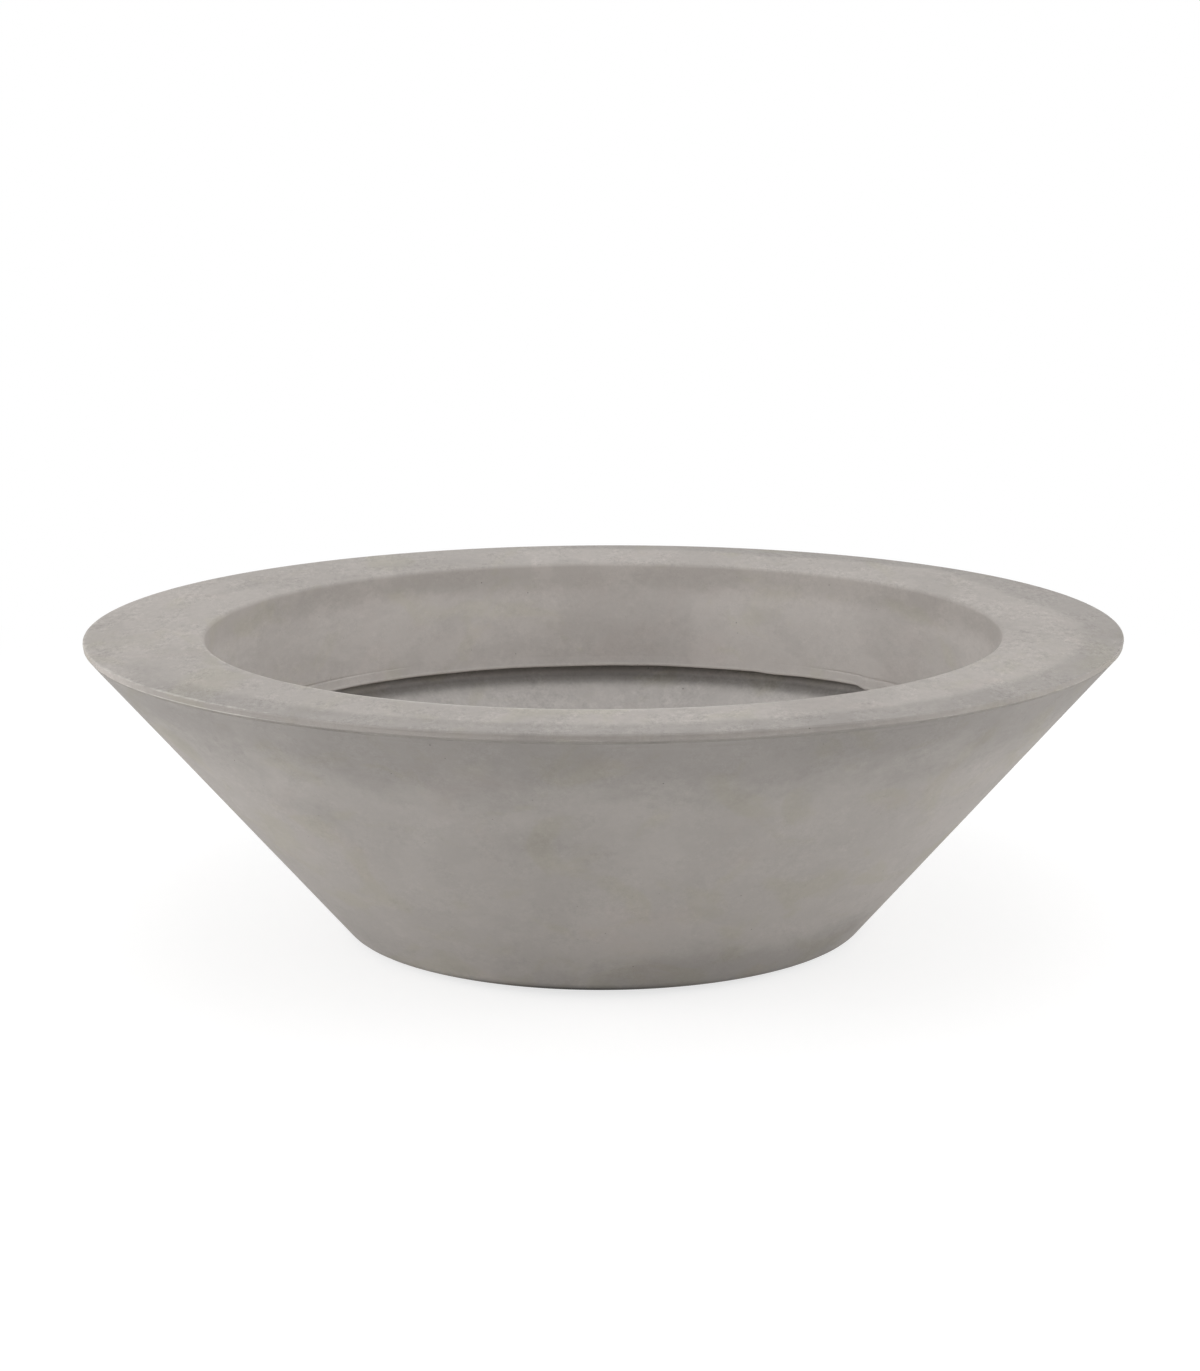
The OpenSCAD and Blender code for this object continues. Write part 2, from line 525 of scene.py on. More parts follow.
@dataclass
class TurnedCasting:
    """A closed section turned about the planter's axis, with hand-made unevenness."""

    sizes: PlanterSizes
    segments: int = 576

    def turn(self, name: str, outlines: list[Outline]) -> bpy.types.Object:
        """Makes the object.

        Args:
            name: the piece's name.
            outlines: its section, and the sections of any hollows.

        Returns:
            The object, in the scene, with the numbers that its materials read.
        """
        angles = np.arange(self.segments) * (2 * math.pi / self.segments)
        places, quads, kinds = [], [], []
        marks: dict[str, list[np.ndarray]] = {}
        count = 0
        for outline in outlines:
            body = Turned(
                r=np.repeat(outline.points[:, 0], self.segments),
                z=np.repeat(outline.points[:, 1], self.segments),
                angle=np.tile(angles, len(outline.points)),
                run=np.repeat(outline.run, self.segments),
            )
            out = np.repeat(outline.outward, self.segments, axis=0)
            height = self.relief(body) * (0.0 if outline.hollow else 1.0)
            raised = body.z + out[:, 1] * height + self.trimmed(body)
            places.append(Turned(body.r + out[:, 0] * height, raised, body.angle, body.run).points * MM)
            quads.append(self._quads(outline) + count)
            kinds += [face.value for face in outline.faces for _ in range(self.segments)]
            for title, values in {"run": body.run * MM, **self.marks(body)}.items():
                marks.setdefault(title, []).append(values)
            count += len(body.r)
        mesh = bpy.data.meshes.new(name)
        mesh.from_pydata(np.concatenate(places), [], np.concatenate(quads))
        mesh.polygons.foreach_set("use_smooth", np.ones(len(mesh.polygons), bool))
        mesh.polygons.foreach_set("material_index", np.array(kinds, np.int32))
        for title, values in marks.items():
            layer = mesh.attributes.new(title, "FLOAT", "POINT")
            layer.data.foreach_set("value", np.concatenate(values).astype(np.float32))
        mesh.update()
        return into_scene(name, mesh)

    def relief(self, body: Turned) -> np.ndarray:
        """How far each vertex stands out of the plain surface, in mm."""
        return np.zeros(len(body.r))

    def trimmed(self, body: Turned) -> np.ndarray:
        """How far each vertex is moved up or down, in mm."""
        return np.zeros(len(body.r))

    def marks(self, body: Turned) -> Marks:
        """The numbers from 0 to 1 that the casting's materials read at each vertex."""
        return {}

    def _quads(self, outline: Outline) -> np.ndarray:
        """The vertex numbers of every face, turned to face out of the material.

        Args:
            outline: the section, whose direction sets the faces' side.

        Returns:
            Four vertex numbers for each face.
        """
        rows = len(outline.points)
        i, j = np.meshgrid(np.arange(rows), np.arange(self.segments), indexing="ij")
        up, on = (i + 1) % rows, (j + 1) % self.segments
        here, above = i * self.segments, up * self.segments
        corners = np.stack([here + j, here + on, above + on, above + j], axis=-1).reshape(-1, 4)
        return corners if outline.turns_left else corners[:, ::-1]


@dataclass(frozen=True)
class Stain:
    """A darker patch, where leaves or water lay against the concrete.

    at, reach: degrees from +X towards +Y. place, wide: its middle and half width, in mm, as a radius on the
    rim's top or a height on the wall. level: how dark it is, from 0 to 1.
    """

    at: float
    reach: float
    place: float
    wide: float
    level: float

    def over(self, degrees: np.ndarray, places: np.ndarray) -> np.ndarray:
        """How dark it makes each vertex."""
        return self.level * near(degrees, self.at, self.reach) * near(places, self.place, self.wide)


@dataclass
class BowlShell(TurnedCasting):
    """The conical wall and the floor, cast in one: smooth from the mould outside, sprayed inside."""

    arris: float = 0.35
    pocket_sides: int = 96

    # relief: ramps count in mm from the base, the wall's top, the drain's seat and the skirt's toe
    wall_swells: tuple[Swell, ...] = (Swell(0.22, 210, 3.1), Swell(0.06, 46, 7.7))
    sprayed_swells: tuple[Swell, ...] = (Swell(0.55, 55, 1.3), Swell(0.4, 11, 5.9))
    off_base: Ramp = Ramp(1, 12)
    off_top: Ramp = Ramp(0, -8)
    off_seat: Ramp = Ramp(2, 14)
    off_mortar: Ramp = Ramp(-24, -36)
    thin_coat: float = 1.6
    thinned: Ramp = Ramp(-90, -20)

    # wear on the base's corner, by radius and by height
    corner_wear: float = 0.25
    corner_at: Peak = Peak(6, 6)
    corner_out: Ramp = Ramp(-14, 0)
    corner_up: Ramp = Ramp(1.5, 5)

    # darkening: just under the rim; painted shade at the foot (most in front, a little to the right); an
    # even level underneath; painted shadow behind the skirt; and the stains
    rim_damp: Ramp = Ramp(-100, 4)
    foot_damp: Ramp = Ramp(66, 8)
    foot_least: float = 0.25
    foot_front: float = 0.883
    foot_right: float = 0.469
    foot_round: Ramp = Ramp(0.72, 0.985)
    underside_darkening: float = 0.45
    under_in: Ramp = Ramp(-14, -50)
    skirt_shadow: tuple[Ramp, Ramp] = (Ramp(-25.5, -10.5), Ramp(-7.5, -11))
    stains: tuple[Stain, ...] = (Stain(230, 9, 178, 24, 0.4), Stain(262, 7, 170, 20, 0.3))

    # painted shade: a dark line round the base's lower edge, strongest in front, by angle, height and radius
    base_edge_shade_least: float = 0.12
    base_edge_shade_at: Peak = Peak(265, 24)
    base_edge_shade_up: Ramp = Ramp(7, 2.6)
    base_edge_shade_out: Ramp = Ramp(-18, -12)

    # trowel marks beside the joint, and lime bloom with painted light on the sprayed face, between the floor
    # and the skirt
    joint_at: Peak = Peak(0, 7)
    joint_least: float = 0.4
    joint_front: Ramp = Ramp(0.3, 0.9)
    bloom_and_light_up: Ramp = Ramp(20, 75)
    bloom_and_light_toe: Ramp = Ramp(-13, -21)

    def build(self) -> bpy.types.Object:
        """Makes the shell, with the drain's seat and the pads' pockets."""
        s = self.sizes
        rough = Face.SPRAYED
        shell = self.turn("bowl_casting", [Outline.through([
            Stretch(s.drain_hole_r, s.base_z, 0.4, 6),
            Stretch(s.base_r, s.base_z, s.base_corner_r, 4),
            Stretch(s.wall_out(s.wall_top_z), s.wall_top_z, self.arris, 4),
            Stretch(s.wall_in(s.wall_top_z), s.wall_top_z, s.arris_r, 4, rough),
            Stretch(s.wall_in(s.floor_z), s.floor_z, s.inner_corner_r, 4, rough),
            Stretch(s.seat_r, s.floor_z, 0.5, 2),
            Stretch(s.seat_r, s.floor_z - s.seat_depth, 0.0, 3),
            Stretch(s.drain_hole_r, s.floor_z - s.seat_depth, 0.3, 2),
        ])])
        self._cut_pockets(shell)
        return shell

    def _inside(self, body: Turned) -> np.ndarray:
        """Which vertices lie on the wall's inner face or on the floor.

        Args:
            body: the plain surface.

        Returns:
            True for each vertex on those faces.
        """
        s = self.sizes
        middle = s.wall_out(body.z) - s.wall_t / 2 / math.cos(s.lean)
        return (body.r < middle) & (body.z > s.floor_z - 1)

    def relief(self, body: Turned) -> np.ndarray:
        """Slow waves outside, and the sprayed coat's waves and stipple inside.

        Args:
            body: the plain surface.

        Returns:
            How far each vertex stands out, in mm.
        """
        s = self.sizes
        fade = self.off_base.over(body.z, s.base_z) * self.off_top.over(body.z, s.wall_top_z)
        outer = sum(swell.over(body.points) for swell in self.wall_swells)
        rough = sum(swell.over(body.points) for swell in self.sprayed_swells)
        rough -= self.thin_coat * self.thinned.over(body.z, s.toe_z)
        clear = self.off_seat.over(body.r, s.seat_r) * self.off_mortar.over(body.z, s.wall_top_z)
        return np.where(self._inside(body), rough * clear, outer * fade)

    def _outer_shade_and_stains(self, body: Turned) -> np.ndarray:
        """How dark the wall and the underside are made at each vertex: darker just under the rim, painted
        shade at the foot, an even level underneath, and the stains.

        Args:
            body: the plain surface.

        Returns:
            The darkening at each vertex, from 0 to 1.
        """
        s = self.sizes
        # painted shade at the foot, strongest where the wall faces the front and a little to the right
        facing = self.foot_front * body.front + self.foot_right * body.right
        foot = at_least(self.foot_least, self.foot_round.over(facing))
        foot *= self.foot_damp.over(body.z, s.base_z)
        # darker just under the rim, together with the painted shade at the foot
        damp = np.maximum(self.rim_damp.over(body.z, s.seam_z), foot)
        # an even darkening underneath, in place of the painted shade at the foot
        underneath = (body.z < s.base_z + 1) * self.under_in.over(body.r, s.base_r)
        damp += (self.underside_darkening - damp) * underneath
        for stain in self.stains:
            damp = np.maximum(damp, stain.over(body.degrees, body.z))
        return damp

    def marks(self, body: Turned) -> Marks:
        """Wear, darkening with painted shade and stains, trowel marks and a painted dark line round the base
        outside; painted shadow, and lime bloom with painted light, on the sprayed face.

        Args:
            body: the plain surface.

        Returns:
            The marks by name.
        """
        s = self.sizes
        inside = self._inside(body)
        corner = self.corner_wear * self.corner_at.over(body.z, s.base_z)
        corner *= self.corner_out.over(body.r, s.base_r) * self.corner_up.over(body.z, s.base_z)
        # painted shade along the base's lower edge
        grime = at_least(self.base_edge_shade_least, self.base_edge_shade_at.over(body.degrees))
        grime *= self.base_edge_shade_up.over(body.z, s.base_z) * self.base_edge_shade_out.over(body.r, s.base_r)
        joint = at_least(self.joint_least, self.joint_front.over(body.front))
        joint *= self.joint_at.over(body.z, s.wall_top_z)
        # painted shadow of the skirt on the sprayed face under it
        behind_skirt = math.prod(ramp.over(body.z, s.toe_z) for ramp in self.skirt_shadow)
        # lime bloom and painted light on the sprayed face, between the floor and the skirt
        bloom = self.bloom_and_light_up.over(body.z, s.floor_z) * self.bloom_and_light_toe.over(body.z, s.toe_z)
        return {
            "wear": corner,
            "damp": np.where(inside, behind_skirt, self._outer_shade_and_stains(body)),
            "bloom": np.where(inside, bloom, 0.0),
            "worked": np.where(inside, 0.0, joint),
            "grime": np.where(inside, 0.0, grime),
        }

    def _pocket_cutter(self) -> bpy.types.Object:
        """Makes one round post in the place of each pad, a little wider than it."""
        s = self.sizes
        height = s.base_z + s.foot_pocket
        sides = self.pocket_sides
        points: list[tuple[float, float, float]] = []
        faces: list[list[int]] = []
        for k in range(s.foot_count):
            centre = polar(2 * math.pi / s.foot_count * (k + 0.5), s.foot_circle_d / 2)
            start = len(points)
            for z in (-height, height):
                for j in range(sides):
                    arm = polar(2 * math.pi * j / sides, s.foot_d / 2 + s.foot_clear)
                    points.append(tuple((centre + arm + Vector((0, 0, z))) * MM))
            low = list(range(start, start + sides))
            high = list(range(start + sides, start + 2 * sides))
            faces += [low[::-1], high]
            faces += [[low[j], low[(j + 1) % sides], high[(j + 1) % sides], high[j]] for j in range(sides)]
        mesh = bpy.data.meshes.new("pocket_cutter")
        mesh.from_pydata(points, [], faces)
        return into_scene("pocket_cutter", mesh)

    def _cut_pockets(self, shell: bpy.types.Object) -> None:
        """Cuts the shallow round pockets that the pads are glued into.

        Args:
            shell: the finished casting.
        """
        cutter = self._pocket_cutter()
        cut = shell.modifiers.new("pockets", "BOOLEAN")
        cut.operation = "DIFFERENCE"
        cut.solver = "EXACT"
        cut.object = cutter
        bpy.context.view_layer.update()
        graph = bpy.context.evaluated_depsgraph_get()
        cut_mesh = bpy.data.meshes.new_from_object(shell.evaluated_get(graph))
        shell.modifiers.clear()
        plain, posts = shell.data, cutter.data
        shell.data = cut_mesh
        bpy.data.objects.remove(cutter)
        for used in (plain, posts):
            bpy.data.meshes.remove(used)
        cut_mesh.name = "bowl_casting"


@dataclass(frozen=True)
class Jog:
    """A step in the skirt's lower edge, left by its trimming.

    at, reach: degrees from +X towards +Y. drop: how much lower the edge is at smaller angles, in mm.
    """

    at: float
    reach: float
    drop: float
    fades: Ramp = Ramp(-42, -8)

    def over(self, degrees: np.ndarray) -> np.ndarray:
        """How much lower the edge is at each vertex, in mm."""
        step = smooth_step(degrees, self.at + self.reach, self.at - self.reach)
        return self.drop * step * self.fades.over(degrees, self.at)


@dataclass(frozen=True)
class Wipe:
    """A place where the painted shade band's inner edge on the rim runs further in or out.

    at, reach: degrees from +X towards +Y. out: how much further out the edge lies there, in mm.
    """

    at: float
    reach: float
    out: float


@dataclass
class RimRing(TurnedCasting):
    """The wide rim with its beaded edge, and the skirt that hangs in the opening, cast in one."""

    # section
    shoulder_in: float = 17.0
    shoulder_fall: float = 1.15
    shoulder_soft_r: float = 40.0
    inner_round: float = 4.0
    inner_ease: float = 1.3
    edge_round: float = 1.2
    arris_up: float = 1.0
    arris_out: float = 0.18
    valley_up: float = 1.7
    bead_under: float = 3.9
    bead_h: float = 0.8
    face_in: float = 0.42
    crease_up: float = 10.5
    crease_half: float = 2.0

    # relief of the edge: the arris breaks away and the valley is deeper in front and where it was knocked
    edge_in: Ramp = Ramp(-2.5, -1.5)
    arris_at: Peak = Peak(0, 0.4)
    arris_depth: float = 0.25
    broken: Patchy = Patchy(0.45, (Swell(1.1, 41, 6.1), Swell(0.5, 13, 8.3)))
    valley_low: Ramp = Ramp(-0.5, 0)
    valley_high: Ramp = Ramp(0.5, 0)
    valley_depth: float = 0.12
    valley_swell: Swell = Swell(0.12, 60, 4.4)
    front_depth: float = 0.38
    front_round: Ramp = Ramp(0.86, 0.99)
    knock_depth: float = 0.2
    knocked: Peak = Peak(226, 11)

    # relief of the rim's top
    top_swells: tuple[Swell, ...] = (Swell(0.3, 150, 2.2), Swell(0.08, 28, 4.6))
    top_out: Ramp = Ramp(-4, -20)
    top_in: Ramp = Ramp(6, 22)

    # relief of the skirt: waves, the crease and the lip under it, strongest at the two sides
    skirt_swells: tuple[Swell, ...] = (Swell(0.5, 120, 9.4), Swell(0.08, 26, 3.6))
    skirt_top: Ramp = Ramp(-6, -24)
    skirt_toe: Ramp = Ramp(1, 7)
    crease_depth: float = 0.95
    crease_at: Peak = Peak(0, 0.75)
    crease_side: Ramp = Ramp(0.5, 0.74)
    crease_swell: Swell = Swell(0.35, 70, 2.9)
    crease_fading: Patchy = Patchy(0.75, (Swell(0.7, 33, 8.8),), 0.25)
    lip_proud: float = 0.3
    lip_top: Ramp = Ramp(-0.2, -1.4)
    lip_toe: Ramp = Ramp(0.2, 1.4)

    # the skirt's trimmed edge, and the rim's edge that lies higher in front
    trim_wave: float = 0.4
    trim_swells: tuple[Swell, ...] = (Swell(1.0, 85, 1.9), Swell(0.5, 22, 3.3))
    trim_low: float = 0.5
    trim_up: Ramp = Ramp(18, 3)
    jogs: tuple[Jog, ...] = (Jog(62.5, 1.2, 0.9), Jog(57, 3, -0.8), Jog(42.6, 0.9, 2.6))
    front_lift: float = 0.55
    lift_front: Ramp = Ramp(0.45, 0.85)
    lift_right: Ramp = Ramp(0.62, 0.3)
    lift_out: Ramp = Ramp(-26, -4)
    lift_over_bead: float = 0.6
    lift_under_top: float = 1.2

    # wear and painted highlights: the upper corner, the arris under it, the opening's edge and the skirt's
    # toe
    worn_out: Ramp = Ramp(-5, -2)
    left_side: Ramp = Ramp(0.2, 0.8)
    corner_at: Peak = Peak(0, 0.8)
    corner_wear: float = 0.55
    corner_knock: float = 0.15
    arris_wear_and_highlight_at: Peak = Peak(0.1, 0.5)
    arris_wear_and_highlight: float = 0.3
    arris_side_wear_and_highlight: float = 0.25
    arris_side: Ramp = Ramp(0.4, 0.7)
    arris_knock: float = 0.5
    inner_wear_and_highlight: float = 0.3
    inner_bright: float = 0.55
    inner_front: float = 0.77
    inner_right: float = -0.64
    inner_round_to: Ramp = Ramp(0.4, 0.75)
    inner_near: Ramp = Ramp(-0.1, 0.4)
    inner_left: Ramp = Ramp(0.8, 1)
    inner_left_less: float = 0.4
    inner_at: float = 4.4
    inner_wide: float = 2.2
    inner_wider: float = 2.8
    inner_wide_front: Ramp = Ramp(0.6, 0.9)
    toe_wear_and_highlight: float = 0.72
    toe_at: Peak = Peak(2.8, 1.3)

    # painted shade: the band outside the crest, which fades away to the left, with its wipes; and the stains
    band_edge: float = 1.0
    band_swell: Swell = Swell(5, 34, 7.3)
    band_soft: Ramp = Ramp(-14, 13)
    band_right: float = 0.8
    band_front: float = 0.35
    band_round: Ramp = Ramp(-0.72, -0.22)
    wipes: tuple[Wipe, ...] = (Wipe(18, 14, -17), Wipe(42, 7, 15), Wipe(66, 6, -8), Wipe(90, 8, 6))
    stains: tuple[Stain, ...] = (
        Stain(118, 13, 386, 26, 0.45), Stain(150, 7, 399, 10, 0.62), Stain(133, 5, 366, 12, 0.42),
        Stain(208, 17, 432, 20, 0.45), Stain(188, 7, 405, 12, 0.38), Stain(30, 9, 392, 18, 0.35))

    # lime bloom and painted light on the skirt's lower part, lime bloom on its lip, and trowel marks on the
    # edge and along the crest
    bloom: float = 0.62
    bloom_and_light_flank: float = 0.18
    bloom_and_light_top: Ramp = Ramp(-9, -40)
    flank_front: Ramp = Ramp(0.1, 0.4)
    flank_side: Ramp = Ramp(0.9, 0.6)
    lip_bloom: float = 0.8
    lip_under: Ramp = Ramp(0, -1)
    smear_front: Ramp = Ramp(0.2, 0.8)
    crest_smear: float = 0.5
    crest_at: Peak = Peak(2, 12)

    def build(self) -> bpy.types.Object:
        """Makes the rim and its skirt."""
        s = self.sizes
        rough = Face.SPRAYED
        in_from_crest = (self.shoulder_in + self.inner_ease) / (s.rim_w - s.crest_in)
        shoulder_z = s.top_z - s.crest_fall_in * (1 - in_from_crest)
        inner_z = s.top_z - s.crest_fall_in - self.shoulder_fall
        inner_r = s.opening_r + self.inner_ease
        arris_z = s.seam_z + self.arris_up
        bead_z = s.seam_z + self.bead_under
        groove = (self.crease_up + self.crease_half, self.crease_up - self.crease_half)
        return self.turn("rim_casting", [Outline.through([
            Stretch(s.shoulder_r, s.seam_z, 0.0, 6, rough),
            Stretch(s.wall_out(s.seam_z) - 0.1, s.seam_z, 0.1, 0.35),
            Stretch(s.wall_out(arris_z) + self.arris_out, arris_z, 0.12, 0.3),
            Stretch(s.rim_r - self.face_in, s.seam_z + self.valley_up, 0.3, 0.4),
            Stretch(s.rim_r - 0.18, bead_z, 0.5, 0.4),
            Stretch(s.rim_r - 0.05, bead_z + self.bead_h, 0.4, 0.4),
            Stretch(s.rim_r - 0.03, s.top_z - s.crest_fall_out, self.edge_round, 2.5),
            Stretch(s.rim_r - s.crest_in, s.top_z - 0.02, s.crest_soft_r, 3),
            Stretch(inner_r + self.shoulder_in, shoulder_z, self.shoulder_soft_r, 1.5),
            Stretch(inner_r, inner_z, self.inner_round, 3.5),
            Stretch(self._face_r(groove[0]), s.toe_z + groove[0], 0.0, 0.35),
            Stretch(self._face_r(groove[1]), s.toe_z + groove[1], 0.0, 1.2),
            Stretch(s.toe_r, s.toe_z, s.toe_arris_r, 2),
            Stretch(s.toe_r + s.skirt_toe_t, s.toe_z, 2 * s.toe_arris_r, 6, rough),
            Stretch(s.opening_r + s.skirt_t, s.plate_under_z, s.plate_corner_r, 8, rough),
            Stretch(s.shoulder_r, s.plate_under_z, s.arris_r, 3, rough),
        ], arc_step=8.0)])

    def _face_r(self, up: float) -> float:
        """The radius of the skirt's face at that height above its lower edge.

        Args:
            up: the height, in mm.

        Returns:
            The radius, in mm.
        """
        s = self.sizes
        height = s.skirt_depth - s.crest_fall_in - self.shoulder_fall
        return s.toe_r + (s.opening_r + self.inner_ease - s.toe_r) * up / height

    def _on_skirt(self, body: Turned) -> np.ndarray:
        """Which vertices lie on the skirt's face in the opening.

        Args:
            body: the plain surface.

        Returns:
            True for each vertex on the face.
        """
        s = self.sizes
        middle = s.toe_r + s.skirt_toe_t / 2 + (s.opening_r - s.toe_r) * (body.z - s.toe_z) / s.skirt_depth
        return (body.r < middle) & (body.z < s.top_z - 5)

    def relief(self, body: Turned) -> np.ndarray:
        """Slow waves on the top, with the edge's and the skirt's own relief.

        Args:
            body: the plain surface.

        Returns:
            How far each vertex stands out, in mm.
        """
        s = self.sizes
        top = (body.z > s.top_z - 2.5) * self.top_out.over(body.r, s.rim_r)
        top = top * self.top_in.over(body.r, s.opening_r)
        floated = sum(swell.sunk(body.points) for swell in self.top_swells)
        return self._edge_relief(body) + top * floated + self._skirt_relief(body)

    def _edge_relief(self, body: Turned) -> np.ndarray:
        """The edge's broken arris, and its valley, deeper in front and where it was knocked, in mm.

        Args:
            body: the plain surface.

        Returns:
            How far each vertex stands out, in mm.
        """
        s = self.sizes
        up = body.z - s.seam_z
        arris = self.arris_at.over(up, self.arris_up) * self.broken.over(body.around)
        valley = self.valley_low.over(up, self.valley_up) * self.valley_high.over(up, self.bead_under)
        depth = self.valley_depth + self.front_depth * self.front_round.over(body.front)
        depth += self.valley_swell.over(body.around) + self.knock_depth * self.knocked.over(body.degrees)
        return -self.edge_in.over(body.r, s.rim_r) * (self.arris_depth * arris + valley * depth)

    def _skirt_relief(self, body: Turned) -> np.ndarray:
        """The skirt's waves, and the crease over the lip, in mm.

        Args:
            body: the plain surface.

        Returns:
            How far each vertex stands out, in mm.
        """
        s = self.sizes
        up = body.z - s.toe_z
        plain = self.skirt_top.over(body.z, s.top_z) * self.skirt_toe.over(up)
        waves = sum(swell.over(body.points) for swell in self.skirt_swells)
        strength = self.crease_side.over(np.abs(body.right)) + self.crease_swell.over(body.around)
        strength = np.clip(strength, 0.0, 1.0)
        crease = self.crease_depth * self.crease_fading.over(body.around)
        crease *= self.crease_at.over(up, self.crease_up)
        lip = self.lip_proud * self.lip_top.over(up, self.crease_up) * self.lip_toe.over(up)
        return self._on_skirt(body) * (plain * waves + strength * (lip - crease))

    def trimmed(self, body: Turned) -> np.ndarray:
        """The skirt's lower edge as it was trimmed by hand, and the rim's edge, a little higher in front.

        Args:
            body: the plain surface.

        Returns:
            How far each vertex is moved up or down, in mm.
        """
        s = self.sizes
        ring = np.stack([body.right, -body.front, np.zeros_like(body.angle)], axis=1) * s.toe_r
        level = self.trim_wave * sum(swell.over(ring) for swell in self.trim_swells) - self.trim_low
        level -= sum(jog.over(body.degrees) for jog in self.jogs)
        low = self.trim_up.over(body.z, s.toe_z) * (body.r < s.opening_r + s.skirt_t)
        lifted = self.lift_front.over(body.front) * self.lift_right.over(body.right)
        lifted *= self.lift_out.over(body.r, s.rim_r)
        low_z = s.seam_z + self.bead_under + self.lift_over_bead
        high_z = s.top_z - s.crest_fall_out - self.lift_under_top
        lifted *= smooth_step(body.z, low_z, high_z)
        return level * low + self.front_lift * lifted

    def _wear_and_highlights(self, body: Turned) -> np.ndarray:
        """How rubbed the corner, the arris, the opening's edge and the skirt's toe are, with the painted
        highlights along them.

        Args:
            body: the plain surface.

        Returns:
            The wear and painted highlight at each vertex, from 0 to 1.
        """
        s = self.sizes
        left = self.left_side.over(-body.right)
        on_edge = self.worn_out.over(body.r, s.rim_r)
        knocked = self.knocked.over(body.degrees)
        # painted highlight along the upper corner, mostly on the left, and wear where it was knocked
        corner = on_edge * self.corner_at.over(body.z, s.top_z - s.crest_fall_out)
        corner *= self.corner_wear * left + self.corner_knock * knocked
        sides = self.arris_side.over(np.abs(body.right))
        # painted highlight and wear on the arris, more at the sides and where it was knocked
        arris = on_edge * self.arris_wear_and_highlight_at.over(body.z, s.seam_z + self.arris_up)
        arris *= self.arris_wear_and_highlight + self.arris_side_wear_and_highlight * sides + self.arris_knock * knocked
        # painted highlight and wear along the opening's edge in front, strongest towards the front left
        facing = self.inner_front * body.front + self.inner_right * body.right
        inner = self.inner_wear_and_highlight + self.inner_bright * self.inner_round_to.over(facing)
        inner *= self.inner_near.over(body.front) * (1 - self.inner_left_less * self.inner_left.over(left))
        wide = self.inner_wide + self.inner_wider * self.inner_wide_front.over(body.front)
        inner *= near(body.r, s.opening_r + self.inner_at, wide) * (body.z > s.top_z - 5)
        # painted highlight and wear along the skirt's toe
        toe = self.toe_wear_and_highlight * self._on_skirt(body) * self.toe_at.over(body.z - s.toe_z)
        return np.clip(corner + arris + inner + toe, 0, 1)

    def _shade_band_and_stains(self, body: Turned) -> np.ndarray:
        """The painted shade of the band outside the crest, and the stains, at each vertex.

        Args:
            body: the plain surface.

        Returns:
            The darkening at each vertex, from 0 to 1.
        """
        s = self.sizes
        starts = s.rim_r - s.crest_in + self.band_edge + self.band_swell.over(body.around)
        for wipe in self.wipes:
            starts += wipe.out * near(body.degrees, wipe.at, wipe.reach)
        # painted shade on the outer band, fading away to the left
        shaded_side = self.band_round.over(self.band_right * body.right + self.band_front * body.front)
        band = self.band_soft.over(body.r - starts) * (body.z > s.seam_z - 0.1) * shaded_side
        for stain in self.stains:
            band = np.maximum(band, stain.over(body.degrees, body.r) * (body.z > s.top_z - 5))
        return band

    def marks(self, body: Turned) -> Marks:
        """Wear and painted highlights on the edges, the outer band's painted shade with the stains, lime
        bloom and painted light on the skirt, and trowel marks along the edge.

        Args:
            body: the plain surface.

        Returns:
            The marks by name.
        """
        s = self.sizes
        skirt = self._on_skirt(body)
        sides = np.abs(body.right)
        flank = self.flank_front.over(sides) * self.flank_side.over(sides)
        # lime bloom and painted light on the skirt's lower part
        pale = self.bloom_and_light_top.over(body.z, s.top_z) * (self.bloom + self.bloom_and_light_flank * flank)
        lip = self.lip_bloom * self.lip_under.over(body.z - s.toe_z, self.crease_up)
        crest = self.crest_smear * self.crest_at.over(body.r, s.rim_r - s.crest_in) * (body.z > s.top_z - 3)
        edge = self.worn_out.over(body.r, s.rim_r) * self.smear_front.over(body.front)
        return {
            "wear": self._wear_and_highlights(body),
            "damp": self._shade_band_and_stains(body),
            "bloom": skirt * np.maximum(pale, lip),
            "worked": np.clip(edge + crest, 0, 1),
        }


